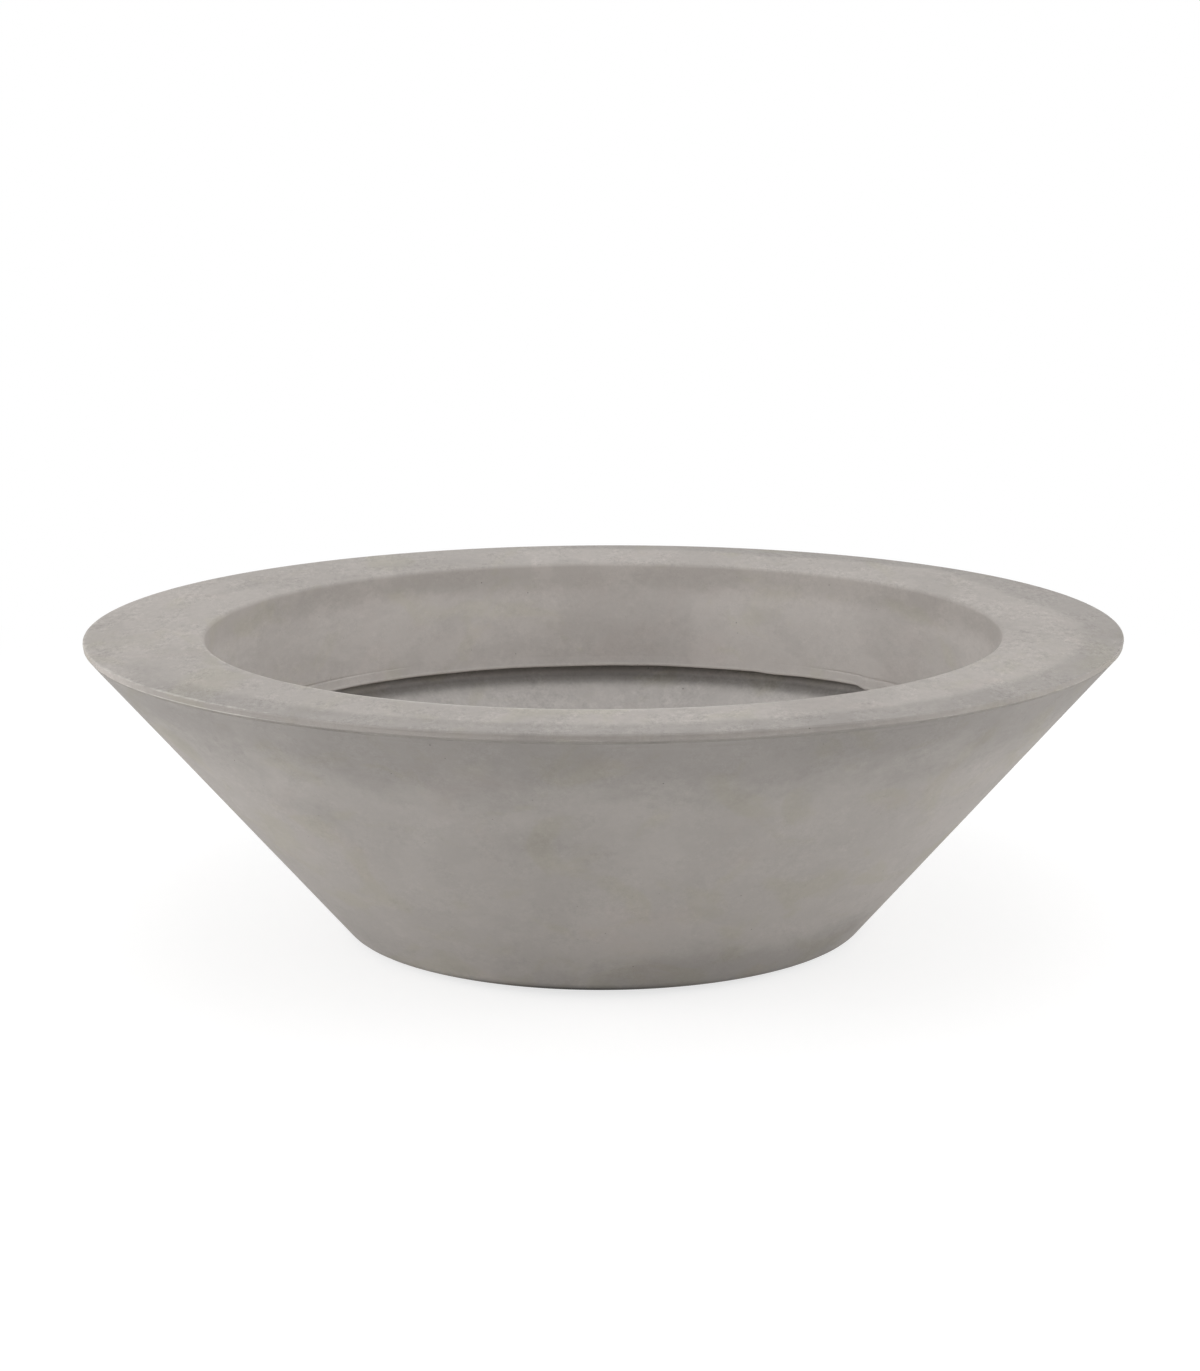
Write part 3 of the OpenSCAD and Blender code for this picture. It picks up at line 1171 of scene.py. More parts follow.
@dataclass
class MortarJoint(TurnedCasting):
    """The mortar bed that shows as a fine line under the rim, and the fillet with the rod in it."""

    flush_to: float = 0.05
    open_depth: float = 0.12
    open_out: Ramp = Ramp(-5.5, -4)
    open_swells: tuple[Swell, ...] = (Swell(1.0, 37, 5.2), Swell(0.5, 12, 2.2))
    open_from: Ramp = Ramp(0.1, 0.5)
    open_least: float = 0.1
    open_front: Ramp = Ramp(0.8, 0.97)

    def build(self) -> bpy.types.Object:
        """Makes the bed, the joint behind the shoulder and the fillet, with a tunnel for the rod."""
        s = self.sizes
        fillet_z = s.plate_under_z - s.fillet_h
        section = Outline.through([
            Stretch(s.mortar_out(s.wall_top_z), s.wall_top_z, 0.0, 4),
            Stretch(s.wall_out(s.wall_top_z) - self.flush_to, s.wall_top_z, 0.0, 0.4),
            Stretch(s.wall_out(s.seam_z) - self.flush_to, s.seam_z, 0.0, 6),
            Stretch(s.shoulder_r, s.seam_z, 0.0, 3),
            Stretch(s.shoulder_r, s.plate_under_z, 0.0, 4),
            Stretch(s.shoulder_r - s.fillet_w, s.plate_under_z, 0.0, 3),
            Stretch(s.mortar_out(fillet_z), fillet_z, 0.0, 4),
        ])
        tunnel = Outline.tunnel(s.rod_r, s.rod_z, s.hoop_rod_d / 2 + s.bond_gap)
        return self.turn("joint_mortar", [section, tunnel])

    def relief(self, body: Turned) -> np.ndarray:
        """Leaves the joint open here and there, where the mortar didn't fill it.

        Args:
            body: the plain surface.

        Returns:
            How far each vertex stands out, in mm.
        """
        gaps = self.open_from.over(sum(swell.over(body.around) for swell in self.open_swells))
        gaps *= at_least(self.open_least, self.open_front.over(body.front))
        return -self.open_depth * self.open_out.over(body.r, self.sizes.rim_r) * gaps


# ---------------------------------------------------------------- node wiring


class Wiring:
    """Adds nodes to one node tree and joins them."""

    def __init__(self, tree: bpy.types.NodeTree) -> None:
        """Starts on an emptied tree.

        Args:
            tree: the material's or group's tree.
        """
        self.tree = tree
        tree.nodes.clear()

    def put(self, socket: Socket, value: Value) -> None:
        """Joins a socket to another one, or writes a plain value into it.

        Args:
            socket: what is fed.
            value: the other socket, or the plain value.
        """
        if isinstance(value, Socket):
            self.tree.links.new(value, socket)
        else:
            socket.default_value = value

    def node(self, kind: str, inputs: dict[str | int, Value] | None = None,
             **settings: object) -> bpy.types.Node:
        """Adds one node.

        Args:
            kind: the node's type name.
            inputs: what goes into its sockets, by name or place.
            settings: the node's own options.

        Returns:
            The node.
        """
        made = self.tree.nodes.new(kind)
        for key, value in settings.items():
            setattr(made, key, value)
        for key, value in (inputs or {}).items():
            self.put(made.inputs[key], value)
        return made

    def math(self, operation: str, *values: Value) -> Socket:
        """A Math node's result."""
        return self.node("ShaderNodeMath", dict(enumerate(values)), operation=operation).outputs[0]

    def plus(self, one: Value, other: Value) -> Socket:
        """The sum of two values."""
        return self.math("ADD", one, other)

    def minus(self, one: Value, other: Value) -> Socket:
        """The first value less the other."""
        return self.math("SUBTRACT", one, other)

    def times(self, one: Value, other: Value) -> Socket:
        """The product of two values."""
        return self.math("MULTIPLY", one, other)

    def line(self, value: Value, slope: Value, start: Value) -> Socket:
        """A start, and the slope times the value on top of it."""
        return self.math("MULTIPLY_ADD", value, slope, start)

    def rate(self, size: Value) -> Socket:
        """How many swells of a size, in metres, fit in a metre."""
        return self.math("DIVIDE", 1.0, size)

    def vector(self, operation: str, *values: Value) -> Socket:
        """A Vector Math node's result, where that is a vector."""
        return self.node("ShaderNodeVectorMath", dict(enumerate(values)), operation=operation).outputs[0]

    def noise(self, vector: Socket, scale: Value, detail: float = 3.0, roughness: float = 0.55,
              distortion: float = 0.0) -> Socket:
        """A noise texture's value.

        Args:
            vector: where it is read.
            scale: how many swells fit in a metre.
            detail: how many finer layers it has.
            roughness: how strong the finer layers are.
            distortion: how much it swirls.

        Returns:
            The value, about 0.5 on average.
        """
        inputs = {"Vector": vector, "Scale": scale, "Detail": detail, "Roughness": roughness,
                  "Distortion": distortion}
        return self.node("ShaderNodeTexNoise", inputs, noise_dimensions="3D").outputs["Fac"]

    def span(self, value: Value, low: Value, high: Value,
             to_low: Value = 0.0, to_high: Value = 1.0) -> Socket:
        """A smooth map of a value from one range to another.

        Args:
            value: what is mapped.
            low: the value that gives to_low.
            high: the value that gives to_high.
            to_low: the first end of the result.
            to_high: the second end of the result.

        Returns:
            The mapped value.
        """
        inputs = {"Value": value, "From Min": low, "From Max": high, "To Min": to_low, "To Max": to_high}
        return self.node("ShaderNodeMapRange", inputs, interpolation_type="SMOOTHSTEP").outputs["Result"]

    def tint(self, share: Value, colour: Value, other: Value) -> Socket:
        """A colour mixed towards another by a share.

        Args:
            share: 0 for the colour, 1 for the other.
            colour: the first colour.
            other: the second colour.

        Returns:
            The mixed colour.
        """
        made = self.node("ShaderNodeMix", {0: share}, data_type="RGBA", blend_type="MIX")
        self.put(made.inputs[6], colour)
        self.put(made.inputs[7], other)
        return made.outputs[2]

    def shade(self, colour: Socket, tone: Value) -> Socket:
        """A colour made lighter or darker by a tone about 1.

        Args:
            colour: the colour.
            tone: what it is multiplied by.

        Returns:
            The toned colour.
        """
        made = self.node("ShaderNodeVectorMath", {0: colour}, operation="SCALE")
        self.put(made.inputs["Scale"], tone)
        return made.outputs[0]

    def attribute(self, title: str) -> Socket:
        """A number kept on the mesh."""
        return self.node("ShaderNodeAttribute", attribute_name=title).outputs["Fac"]

    def effect(self, shared: "Effect", inputs: dict[str, Value]) -> dict[str, Socket]:
        """Places a shared effect with this material's own values.

        Args:
            shared: the effect.
            inputs: what goes into its sockets, by name.

        Returns:
            Its outputs, by name.
        """
        made = self.tree.nodes.new("ShaderNodeGroup")
        made.node_tree = shared.tree()
        for key, value in inputs.items():
            self.put(made.inputs[key], value)
        return {out.name: out for out in made.outputs}

    def lit(self, kind: str, colour: tuple, strength: float | None = None) -> Socket:
        """A plain shader of one colour, with a strength if it shines.

        Args:
            kind: the shader's type name.
            colour: its colour.
            strength: how strongly it shines, if it does.

        Returns:
            The shader.
        """
        inputs: dict[str | int, Value] = {"Color": colour}
        if strength is not None:
            inputs["Strength"] = strength
        return self.node(kind, inputs).outputs[0]

    def blend(self, share: Value, one: Socket, other: Socket) -> Socket:
        """One shader mixed towards another by a share."""
        return self.node("ShaderNodeMixShader", {0: share, 1: one, 2: other}).outputs[0]

    def looked_at(self) -> Socket:
        """1 where the camera looks, straight, in a mirror or through glass, and 0 for light on its way."""
        rays = self.node("ShaderNodeLightPath").outputs
        seen = self.math("MAXIMUM", rays["Is Camera Ray"], rays["Is Glossy Ray"])
        return self.math("MAXIMUM", seen, rays["Is Transmission Ray"])


Given = dict[str, Socket]
Fill = Callable[[Wiring, Given], Given]


@dataclass(frozen=True)
class Effect:
    """A shader node group that several finishes use, built once.

    title: its name. takes: its inputs with their defaults; a tuple of three is a vector.
    gives: its outputs. fill: adds its nodes.
    """

    title: str
    takes: dict[str, float | tuple]
    gives: tuple[str, ...]
    fill: Fill

    def tree(self) -> bpy.types.NodeTree:
        """The node group, made on its first use."""
        if self.title in bpy.data.node_groups:
            return bpy.data.node_groups[self.title]
        made = bpy.data.node_groups.new(self.title, "ShaderNodeTree")
        wires = Wiring(made)
        for name, start in {"Vector": (0.0, 0.0, 0.0), **self.takes}.items():
            kind = "NodeSocketVector" if isinstance(start, tuple) else "NodeSocketFloat"
            made.interface.new_socket(name, in_out="INPUT", socket_type=kind).default_value = start
        for name in self.gives:
            made.interface.new_socket(name, in_out="OUTPUT", socket_type="NodeSocketFloat")
        given = {out.name: out for out in wires.node("NodeGroupInput").outputs if out.name}
        results = self.fill(wires, given)
        wires.node("NodeGroupOutput", {name: results[name] for name in self.gives})
        return made


def fill_clouding(wires: Wiring, given: Given) -> Given:
    """Broad clouds and smaller mottling, as a tone about 1.

    Args:
        wires: the group's wiring.
        given: the group's inputs, by name.

    Returns:
        The tone, by name.
    """
    place, scale = given["Vector"], wires.rate(given["Size"])
    broad = wires.noise(place, scale, detail=3.0, roughness=0.5, distortion=0.5)
    fine = wires.noise(place, wires.times(scale, 3.7), detail=5.0, roughness=0.62, distortion=0.3)
    mottling = wires.times(wires.minus(fine, 0.5), given["Mottle"])
    both = wires.plus(wires.times(wires.minus(broad, 0.5), given["Cloud"]), mottling)
    return {"Tone": wires.plus(both, 1.0)}


def fill_patches(wires: Wiring, given: Given) -> Given:
    """Paler and darker patches with speckled, ragged boundaries, as a tone about 1.

    Args:
        wires: the group's wiring.
        given: the group's inputs, by name.

    Returns:
        The tone, by name.
    """
    place, scale = given["Vector"], wires.rate(given["Size"])
    broad = wires.noise(place, scale, detail=2.0, roughness=0.5, distortion=0.8)
    fine = wires.noise(place, wires.times(scale, 6.0), detail=7.0, roughness=0.72)
    lifted = wires.line(wires.minus(fine, 0.5), given["Break"], broad)
    share = wires.minus(wires.span(lifted, low=0.44, high=0.56), 0.5)
    return {"Tone": wires.line(share, given["Amount"], 1.0)}


def fill_ragged(wires: Wiring, given: Given) -> Given:
    """A level that was painted on the mesh, with a ragged, speckled boundary, as a mask.

    Args:
        wires: the group's wiring.
        given: the group's inputs, by name.

    Returns:
        The mask, by name.
    """
    scale = wires.rate(given["Size"])
    eaten = wires.noise(given["Vector"], scale, detail=8.0, roughness=0.76, distortion=0.3)
    lifted = wires.line(wires.minus(eaten, 0.5), given["Break"], given["Level"])
    low, high = wires.minus(0.5, given["Soft"]), wires.plus(0.5, given["Soft"])
    return {"Mask": wires.span(lifted, low, high)}


def fill_smears(wires: Wiring, given: Given) -> Given:
    """Trowel marks along the turning direction, broken into patches, as a tone about 1.

    Args:
        wires: the group's wiring.
        given: the group's inputs, by name.

    Returns:
        The tone, by name.
    """
    split = wires.node("ShaderNodeSeparateXYZ", {0: given["Vector"]})
    along = [wires.times(split.outputs[k], given["Along"]) for k in (0, 1)]
    across = wires.times(given["Run"], given["Across"])
    place = wires.node("ShaderNodeCombineXYZ", {0: along[0], 1: along[1], 2: across}).outputs[0]
    streak = wires.noise(place, 1.0, detail=4.0, roughness=0.65, distortion=0.2)
    patch = wires.span(wires.noise(given["Vector"], 11.0), low=0.4, high=0.6)
    amount = wires.times(wires.times(wires.minus(streak, 0.5), patch), given["Amount"])
    return {"Tone": wires.plus(amount, 1.0)}


def fill_blotches(wires: Wiring, given: Given) -> Given:
    """Soft stains that cover part of the surface, as a mask.

    Args:
        wires: the group's wiring.
        given: the group's inputs, by name.

    Returns:
        The mask, by name.
    """
    spread = wires.noise(given["Vector"], wires.rate(given["Size"]), detail=4.0, distortion=0.7)
    start = wires.minus(0.72, wires.times(given["Cover"], 0.4))
    return {"Mask": wires.span(spread, start, wires.plus(start, 0.12))}


def fill_grain(wires: Wiring, given: Given) -> Given:
    """Sand grain: a fine height, and specks gathered in places that show as lighter and darker dots.

    Args:
        wires: the group's wiring.
        given: the group's inputs, by name.

    Returns:
        The height and tone, by name.
    """
    place, scale = given["Vector"], wires.rate(given["Size"])
    fine = wires.noise(place, scale, detail=2.0, roughness=0.6)
    coarse = wires.noise(place, wires.times(scale, 0.3), roughness=0.6)
    height = wires.plus(wires.times(fine, 0.45), wires.times(coarse, 0.55))
    gathered = wires.noise(place, wires.times(scale, 0.06), roughness=0.6)
    amount = wires.times(wires.span(gathered, 0.42, 0.6, to_low=0.5, to_high=1.8), given["Speck"])
    return {"Height": height, "Tone": wires.line(wires.minus(height, 0.5), amount, 1.0)}


def fill_pits(wires: Wiring, given: Given) -> Given:
    """Small round air holes left against the mould, as a mask.

    Args:
        wires: the group's wiring.
        given: the group's inputs, by name.

    Returns:
        The mask, by name.
    """
    scale = wires.rate(given["Spacing"])
    cells = wires.node("ShaderNodeTexVoronoi", {"Vector": given["Vector"], "Scale": scale})
    chosen = wires.node("ShaderNodeSeparateColor", {0: cells.outputs["Color"]})
    there = wires.math("LESS_THAN", chosen.outputs[0], given["Chance"])
    share = wires.line(chosen.outputs[1], 0.7, 0.3)
    reach = wires.times(wires.times(given["Radius"], scale), share)
    hole = wires.span(cells.outputs["Distance"], reach, wires.times(reach, 0.55))
    return {"Mask": wires.times(hole, there)}


def fill_wear_and_highlight(wires: Wiring, given: Given) -> Given:
    """Edge wear and painted highlights, broken up so that they come and go, as a mask.

    Args:
        wires: the group's wiring.
        given: the group's inputs, by name.

    Returns:
        The mask, by name.
    """
    broken = wires.noise(given["Vector"], wires.rate(given["Size"]), detail=5.0, roughness=0.7)
    lifted = wires.plus(given["Edge"], wires.times(wires.minus(broken, 0.5), 1.3))
    return {"Mask": wires.span(lifted, low=0.3, high=0.8)}


def fill_dust(wires: Wiring, given: Given) -> Given:
    """Dust that settles where the surface faces up, as a mask.

    Args:
        wires: the group's wiring.
        given: the group's inputs, by name.

    Returns:
        The mask, by name.
    """
    facing = wires.span(given["Up"], low=0.35, high=0.95)
    spread = wires.noise(given["Vector"], wires.rate(given["Size"]), detail=5.0, roughness=0.6)
    patches = wires.span(spread, low=0.3, high=0.7)
    return {"Mask": wires.times(wires.times(facing, patches), given["Amount"])}


CLOUDING = Effect("clouding", {"Size": 0.15, "Cloud": 0.1, "Mottle": 0.1}, ("Tone",), fill_clouding)
PATCHES = Effect("ragged_patches", {"Size": 0.08, "Break": 0.6, "Amount": 0.06}, ("Tone",), fill_patches)
RAGGED = Effect("ragged_mask", {"Level": 0.0, "Size": 0.03, "Break": 1.2, "Soft": 0.2}, ("Mask",),
                fill_ragged)
SMEARS = Effect("trowel_smears", {"Run": 0.0, "Along": 7.0, "Across": 170.0, "Amount": 0.1}, ("Tone",),
                fill_smears)
BLOTCHES = Effect("blotches", {"Size": 0.06, "Cover": 0.3}, ("Mask",), fill_blotches)
GRAIN = Effect("sand_grain", {"Size": 0.0012, "Speck": 0.1}, ("Height", "Tone"), fill_grain)
PITS = Effect("air_pits", {"Spacing": 0.02, "Radius": 0.001, "Chance": 0.3}, ("Mask",), fill_pits)
WEAR_AND_HIGHLIGHT = Effect("edge_wear", {"Edge": 0.0, "Size": 0.02}, ("Mask",), fill_wear_and_highlight)
DUST = Effect("settled_dust", {"Up": 0.0, "Size": 0.03, "Amount": 0.5}, ("Mask",), fill_dust)


# ---------------------------------------------------------------- finishes


@dataclass(frozen=True)
class Finish:
    """What every finish has: a name and an empty material to fill."""

    title: str

    def start(self) -> tuple[bpy.types.Material, Wiring, Socket, Socket]:
        """Makes the material.

        Returns:
            The material, its wiring, the place on the object, and how far the surface faces up.
        """
        material = bpy.data.materials.new(self.title)
        material.use_nodes = True
        wires = Wiring(material.node_tree)
        place = wires.node("ShaderNodeTexCoord").outputs["Object"]
        normal = wires.node("ShaderNodeNewGeometry").outputs["Normal"]
        up = wires.node("ShaderNodeSeparateXYZ", {0: normal}).outputs[2]
        return material, wires, place, up

    @staticmethod
    def end(wires: Wiring, surface: dict[str | int, Value], height: Value, depth: float) -> None:
        """Adds the surface's shader.

        Args:
            wires: the material's wiring.
            surface: what goes into the shader's sockets.
            height: its fine relief, from 0 to 1.
            depth: how deep that relief is, in metres.
        """
        bump = wires.node("ShaderNodeBump", {"Strength": 1.0, "Distance": depth, "Height": height})
        shader = wires.node("ShaderNodeBsdfPrincipled", {**surface, "Normal": bump.outputs[0]})
        wires.node("ShaderNodeOutputMaterial", {"Surface": shader.outputs[0]})


@dataclass(frozen=True)
class ConcreteFinish(Finish):
    """Fibre concrete: ragged patches, sand grain, air pits, stains with painted shade, lime bloom with
    painted light, and rubbed edges with painted highlights.

    Sizes are in metres. draw, draw_from: patterns are drawn out along Y by 1 / draw, about the place
    draw_from. squash: they are that much flatter in height.
    """

    base: str = "#ada8a4"
    stain: str = "#a8a395"
    blush: str = "#b3a39d"
    # pale colour of the wear and the painted highlights, also used for the dust
    worn_and_highlight: str = "#cdc9c3"
    # colour of the lime bloom and the painted light
    lime_bloom_and_light: str = "#bfc1c3"
    cloud_size: float = 0.19
    cloud: float = 0.24
    mottle: float = 0.05
    squash: float = 1.4
    draw: float = 0.5
    draw_from: float = -0.3
    apart: tuple[float, float, float] = (3.1, 1.7, 0.4)
    patch_size: float = 0.11
    patch: float = 0.042
    fleck_size: float = 0.022
    fleck: float = 0.01
    smear: float = 0.45
    grain_size: float = 0.0016
    speck: float = 0.26
    speck_up: float = 0.0
    pit_spacing: float = 0.011
    pit_chance: float = 0.2
    pit_radius: float = 0.0009
    pit_shade: float = 0.5
    pit_depth: float = 0.9
    # how dark the painted shade and the stains are, and how much glossier
    stain_and_shade_depth: float = 0.25
    stain_and_shade_shine: float = 0.06
    edge_size: float = 0.05
    edge_break: float = 1.4
    edge_soft: float = 0.46
    # how much the lime bloom and the painted light lighten
    bloom_and_light_gain: float = 0.14
    lime_bloom_and_light_share: float = 0.15
    wear_size: float = 0.014
    worn_and_highlight_share: float = 0.6
    stain_size: float = 0.07
    stain_cover: float = 0.5
    stain_share: float = 0.42
    blush_size: float = 0.08
    blush_cover: float = 0.4
    blush_share: float = 0.09
    relief: float = 0.00024
    roughness: float = 0.86
    dust: float = 0.04
    # how dark the painted shade along the base's lower edge is
    grime: float = 0.85

    def material(self) -> bpy.types.Material:
        """Makes the concrete's material."""
        material, wires, place, up = self.start()
        kept = self.draw_from * (1 - self.draw)
        laid = wires.vector("MULTIPLY_ADD", place, (1.0, self.draw, 1.0), (0.0, kept, 0.0))
        drawn = wires.vector("MULTIPLY", laid, (1.0, 1.0, self.squash))
        moved = wires.vector("ADD", drawn, self.apart)
        level = wires.line(wires.span(up, low=0.5, high=0.95), self.speck_up, self.speck)
        grain = wires.effect(GRAIN, {"Vector": laid, "Size": self.grain_size, "Speck": level})
        pits = wires.effect(PITS, {"Vector": place, "Spacing": self.pit_spacing, "Radius": self.pit_radius,
                                   "Chance": self.pit_chance})["Mask"]
        ragged = {"Size": self.edge_size, "Break": self.edge_break, "Soft": self.edge_soft}
        # painted shade and the stains, from the mesh
        damp = wires.effect(RAGGED, {"Vector": drawn, "Level": wires.attribute("damp"), **ragged})["Mask"]
        # lime bloom and painted light, from the mesh
        bloom = wires.effect(RAGGED, {"Vector": moved, "Level": wires.attribute("bloom"), **ragged})["Mask"]
        # wear and painted highlights on the edges
        worn_and_highlight = wires.effect(WEAR_AND_HIGHLIGHT, {"Vector": place, "Edge": wires.attribute("wear"),
                                   "Size": self.wear_size})["Mask"]
        dust = wires.effect(DUST, {"Vector": place, "Up": up, "Amount": self.dust})["Mask"]
        stains = wires.effect(BLOTCHES, {"Vector": moved, "Size": self.stain_size,
                                         "Cover": self.stain_cover})["Mask"]
        blushes = wires.effect(BLOTCHES, {"Vector": place, "Size": self.blush_size,
                                          "Cover": self.blush_cover})["Mask"]
        colour = wires.tint(wires.times(stains, self.stain_share), linear(self.base), linear(self.stain))
        colour = wires.tint(wires.times(blushes, self.blush_share), colour, linear(self.blush))
        colour = wires.shade(colour, self._tone(wires, place, drawn, moved, {
            "grain": grain["Tone"], "damp": damp, "bloom": bloom, "pits": pits}))
        colour = wires.tint(wires.times(bloom, self.lime_bloom_and_light_share), colour, linear(self.lime_bloom_and_light))
        colour = wires.tint(wires.times(worn_and_highlight, self.worn_and_highlight_share), colour, linear(self.worn_and_highlight))
        colour = wires.tint(dust, colour, linear(self.worn_and_highlight))
        rough = wires.line(damp, -self.stain_and_shade_shine, self.roughness)
        height = wires.line(pits, -self.pit_depth, grain["Height"])
        self.end(wires, {"Base Color": colour, "Roughness": rough}, height, self.relief)
        return material

    def _tone(self, wires: Wiring, place: Socket, drawn: Socket, moved: Socket, masks: Given) -> Socket:
        """How light the concrete is, as a tone about 1.

        Args:
            wires: the material's wiring.
            place: the place on the object.
            drawn: the place as the patterns are drawn out.
            moved: the same, set apart for other patterns.
            masks: the grain's tone, and the masks for stains with painted shade, lime bloom with painted
                light, and pits.

        Returns:
            The product of every pattern's tone.
        """
        tone = wires.effect(CLOUDING, {"Vector": place, "Size": self.cloud_size, "Cloud": self.cloud,
                                       "Mottle": self.mottle})["Tone"]
        worked = wires.times(wires.attribute("worked"), self.smear)
        for share in (
            wires.effect(PATCHES, {"Vector": drawn, "Size": self.patch_size, "Amount": self.patch})["Tone"],
            wires.effect(PATCHES, {"Vector": moved, "Size": self.fleck_size, "Amount": self.fleck})["Tone"],
            wires.effect(SMEARS, {"Vector": place, "Run": wires.attribute("run"), "Amount": worked})["Tone"],
            masks["grain"],
            # painted shade and the stains
            wires.line(masks["damp"], -self.stain_and_shade_depth, 1.0),
            # lime bloom and painted light
            wires.line(masks["bloom"], self.bloom_and_light_gain, 1.0),
            wires.line(masks["pits"], -self.pit_shade, 1.0),
            # painted shade along the base's lower edge
            wires.line(wires.attribute("grime"), -self.grime, 1.0),
        ):
            tone = wires.times(tone, share)
        return tone


@dataclass(frozen=True)
class PlainFinish(Finish):
    """Mortar, steel, plastic or rubber: grain and blotches of a second colour, and clouds or dust if wanted.

    Sizes and relief are in metres. share: how far a full blotch goes to the second colour. blotch_rough,
    dust_rough, blotch_metal: what a full blotch or full dust adds to the roughness or takes off the metal.
    """

    base: str
    blotch: str
    blotch_size: float
    blotch_cover: float
    share: float
    grain_size: float
    speck: float
    roughness: float
    relief: float
    blotch_rough: float = 0.0
    blotch_metal: float = 0.0
    cloud_size: float = 0.0
    cloud: float = 0.0
    mottle: float = 0.3
    dust: str = "#8f8a83"
    dust_size: float = 0.0
    dust_amount: float = 0.0
    dust_rough: float = 0.0

    def material(self) -> bpy.types.Material:
        """Makes the material."""
        material, wires, place, up = self.start()
        grain = wires.effect(GRAIN, {"Vector": place, "Size": self.grain_size, "Speck": self.speck})
        blotches = wires.effect(BLOTCHES, {"Vector": place, "Size": self.blotch_size,
                                           "Cover": self.blotch_cover})["Mask"]
        colour = wires.tint(wires.times(blotches, self.share), linear(self.base), linear(self.blotch))
        tone, rough = grain["Tone"], self.roughness
        if self.cloud:
            clouds = wires.effect(CLOUDING, {"Vector": place, "Size": self.cloud_size, "Cloud": self.cloud,
                                             "Mottle": self.mottle})["Tone"]
            tone = wires.times(clouds, tone)
        colour = wires.shade(colour, tone)
        if self.dust_amount:
            dust = wires.effect(DUST, {"Vector": place, "Up": up, "Size": self.dust_size,
                                       "Amount": self.dust_amount})["Mask"]
            colour = wires.tint(dust, colour, linear(self.dust))
            if self.dust_rough:
                rough = wires.line(dust, self.dust_rough, rough)
        if self.blotch_rough:
            rough = wires.line(blotches, self.blotch_rough, rough)
        surface = {"Base Color": colour, "Roughness": rough}
        if self.blotch_metal:
            surface["Metallic"] = wires.line(blotches, -self.blotch_metal, 1.0)
        self.end(wires, surface, grain["Height"], self.relief)
        return material


def rubber(title: str, dusty: float = 0.3, base: str = "#1d1d1d", bloom: str = "#4c4a48") -> PlainFinish:
    """Moulded rubber: matt, faintly speckled, with a pale bloom and dust on what faces up.

    Args:
        title: the material's name.
        dusty: how much dust lies on it.
        base: its colour.
        bloom: the colour of its bloom.

    Returns:
        The finish.
    """
    return PlainFinish(title, base, bloom, blotch_size=0.015, blotch_cover=0.6, share=0.3, grain_size=0.0007,
                       speck=0.22, roughness=0.74, relief=0.00006, blotch_rough=0.1, cloud_size=0.02,
                       cloud=0.25, dust_size=0.01, dust_amount=dusty)


WALL_CONCRETE = ConcreteFinish("concrete_wall")
RIM_CONCRETE = ConcreteFinish(
    "concrete_rim", base="#aba5a0", cloud=0.2, patch_size=0.12, patch=0.085, fleck_size=0.018, fleck=0.012,
    grain_size=0.0014, speck_up=0.45, stain_and_shade_depth=0.21, edge_size=0.02, edge_break=0.9, edge_soft=0.48,
    bloom_and_light_gain=0.29, draw=0.45, draw_from=0.34)
SPRAYED_CONCRETE = ConcreteFinish(
    "concrete_sprayed", squash=1.3, draw=1.0, grain_size=0.0026, speck=0.5, mottle=0.1, fleck_size=0.018,
    fleck=0.045, stain_and_shade_depth=0.4, bloom_and_light_gain=0.37, edge_size=0.012, edge_break=1.0, edge_soft=0.6,
    relief=0.0006, roughness=0.92, pit_chance=0.35, dust=0.06)
JOINT_MORTAR = PlainFinish(
    "mortar_joint", "#96928d", "#85817c", blotch_size=0.04, blotch_cover=0.5, share=0.6, grain_size=0.0019,
    speck=0.35, roughness=0.93, relief=0.0005, cloud_size=0.05, cloud=0.3)
ROD_STEEL = PlainFinish(
    "rod_steel", "#b8babc", "#7a4a2c", blotch_size=0.018, blotch_cover=0.4, share=0.7, grain_size=0.0006,
    speck=0.3, roughness=0.38, relief=0.00008, blotch_rough=0.4, blotch_metal=0.8)
SLEEVE_PLASTIC = PlainFinish(
    "sleeve_plastic", "#232325", "#4b4a49", blotch_size=0.012, blotch_cover=0.45, share=0.35,
    grain_size=0.0005, speck=0.12, roughness=0.46, relief=0.00004, blotch_rough=0.14, dust_size=0.012,
    dust_amount=0.28, dust_rough=0.4)
PAD_RUBBER = rubber("pad_rubber", dusty=0.1)
SEAL_RUBBER = rubber("seal_rubber")
PLUG_RUBBER = rubber("plug_rubber", base="#3a3a3a", bloom="#605e5b")


def dress(target: bpy.types.Object, materials: Iterable[bpy.types.Material]) -> None:
    """Gives an object its materials in place of what it has.

    Clearing also sets every face to the first material, so a mesh without materials isn't cleared.

    Args:
        target: the object.
        materials: one material for each place on it.
    """
    if target.data.materials:
        target.data.materials.clear()
    for material in materials:
        target.data.materials.append(material)


# ---------------------------------------------------------------- sub-assemblies


@dataclass
class Castings:
    """The two concrete castings and the mortar that bonds them."""

    sizes: PlanterSizes
    body: str = "planter"

    def build(self) -> None:
        """Makes the finer castings in place of the CAD nodes and dresses them."""
        sprayed = SPRAYED_CONCRETE.material()
        wall = [WALL_CONCRETE.material(), sprayed]
        rim = [RIM_CONCRETE.material(), sprayed]
        mortar = [JOINT_MORTAR.material()]
        for maker, node, materials, slot in (
            (BowlShell(self.sizes), "bowl_shell", wall, "concrete"),
            (RimRing(self.sizes), "rim_ring", rim, "concrete"),
            (MortarJoint(self.sizes), "bond_mortar", mortar, "mortar"),
        ):
            piece = maker.build()
            dress(piece, materials)
            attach(piece, self.body)
            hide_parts(node)
            log.info("%s stands for %s: %d faces", piece.name, node, len(piece.data.polygons))


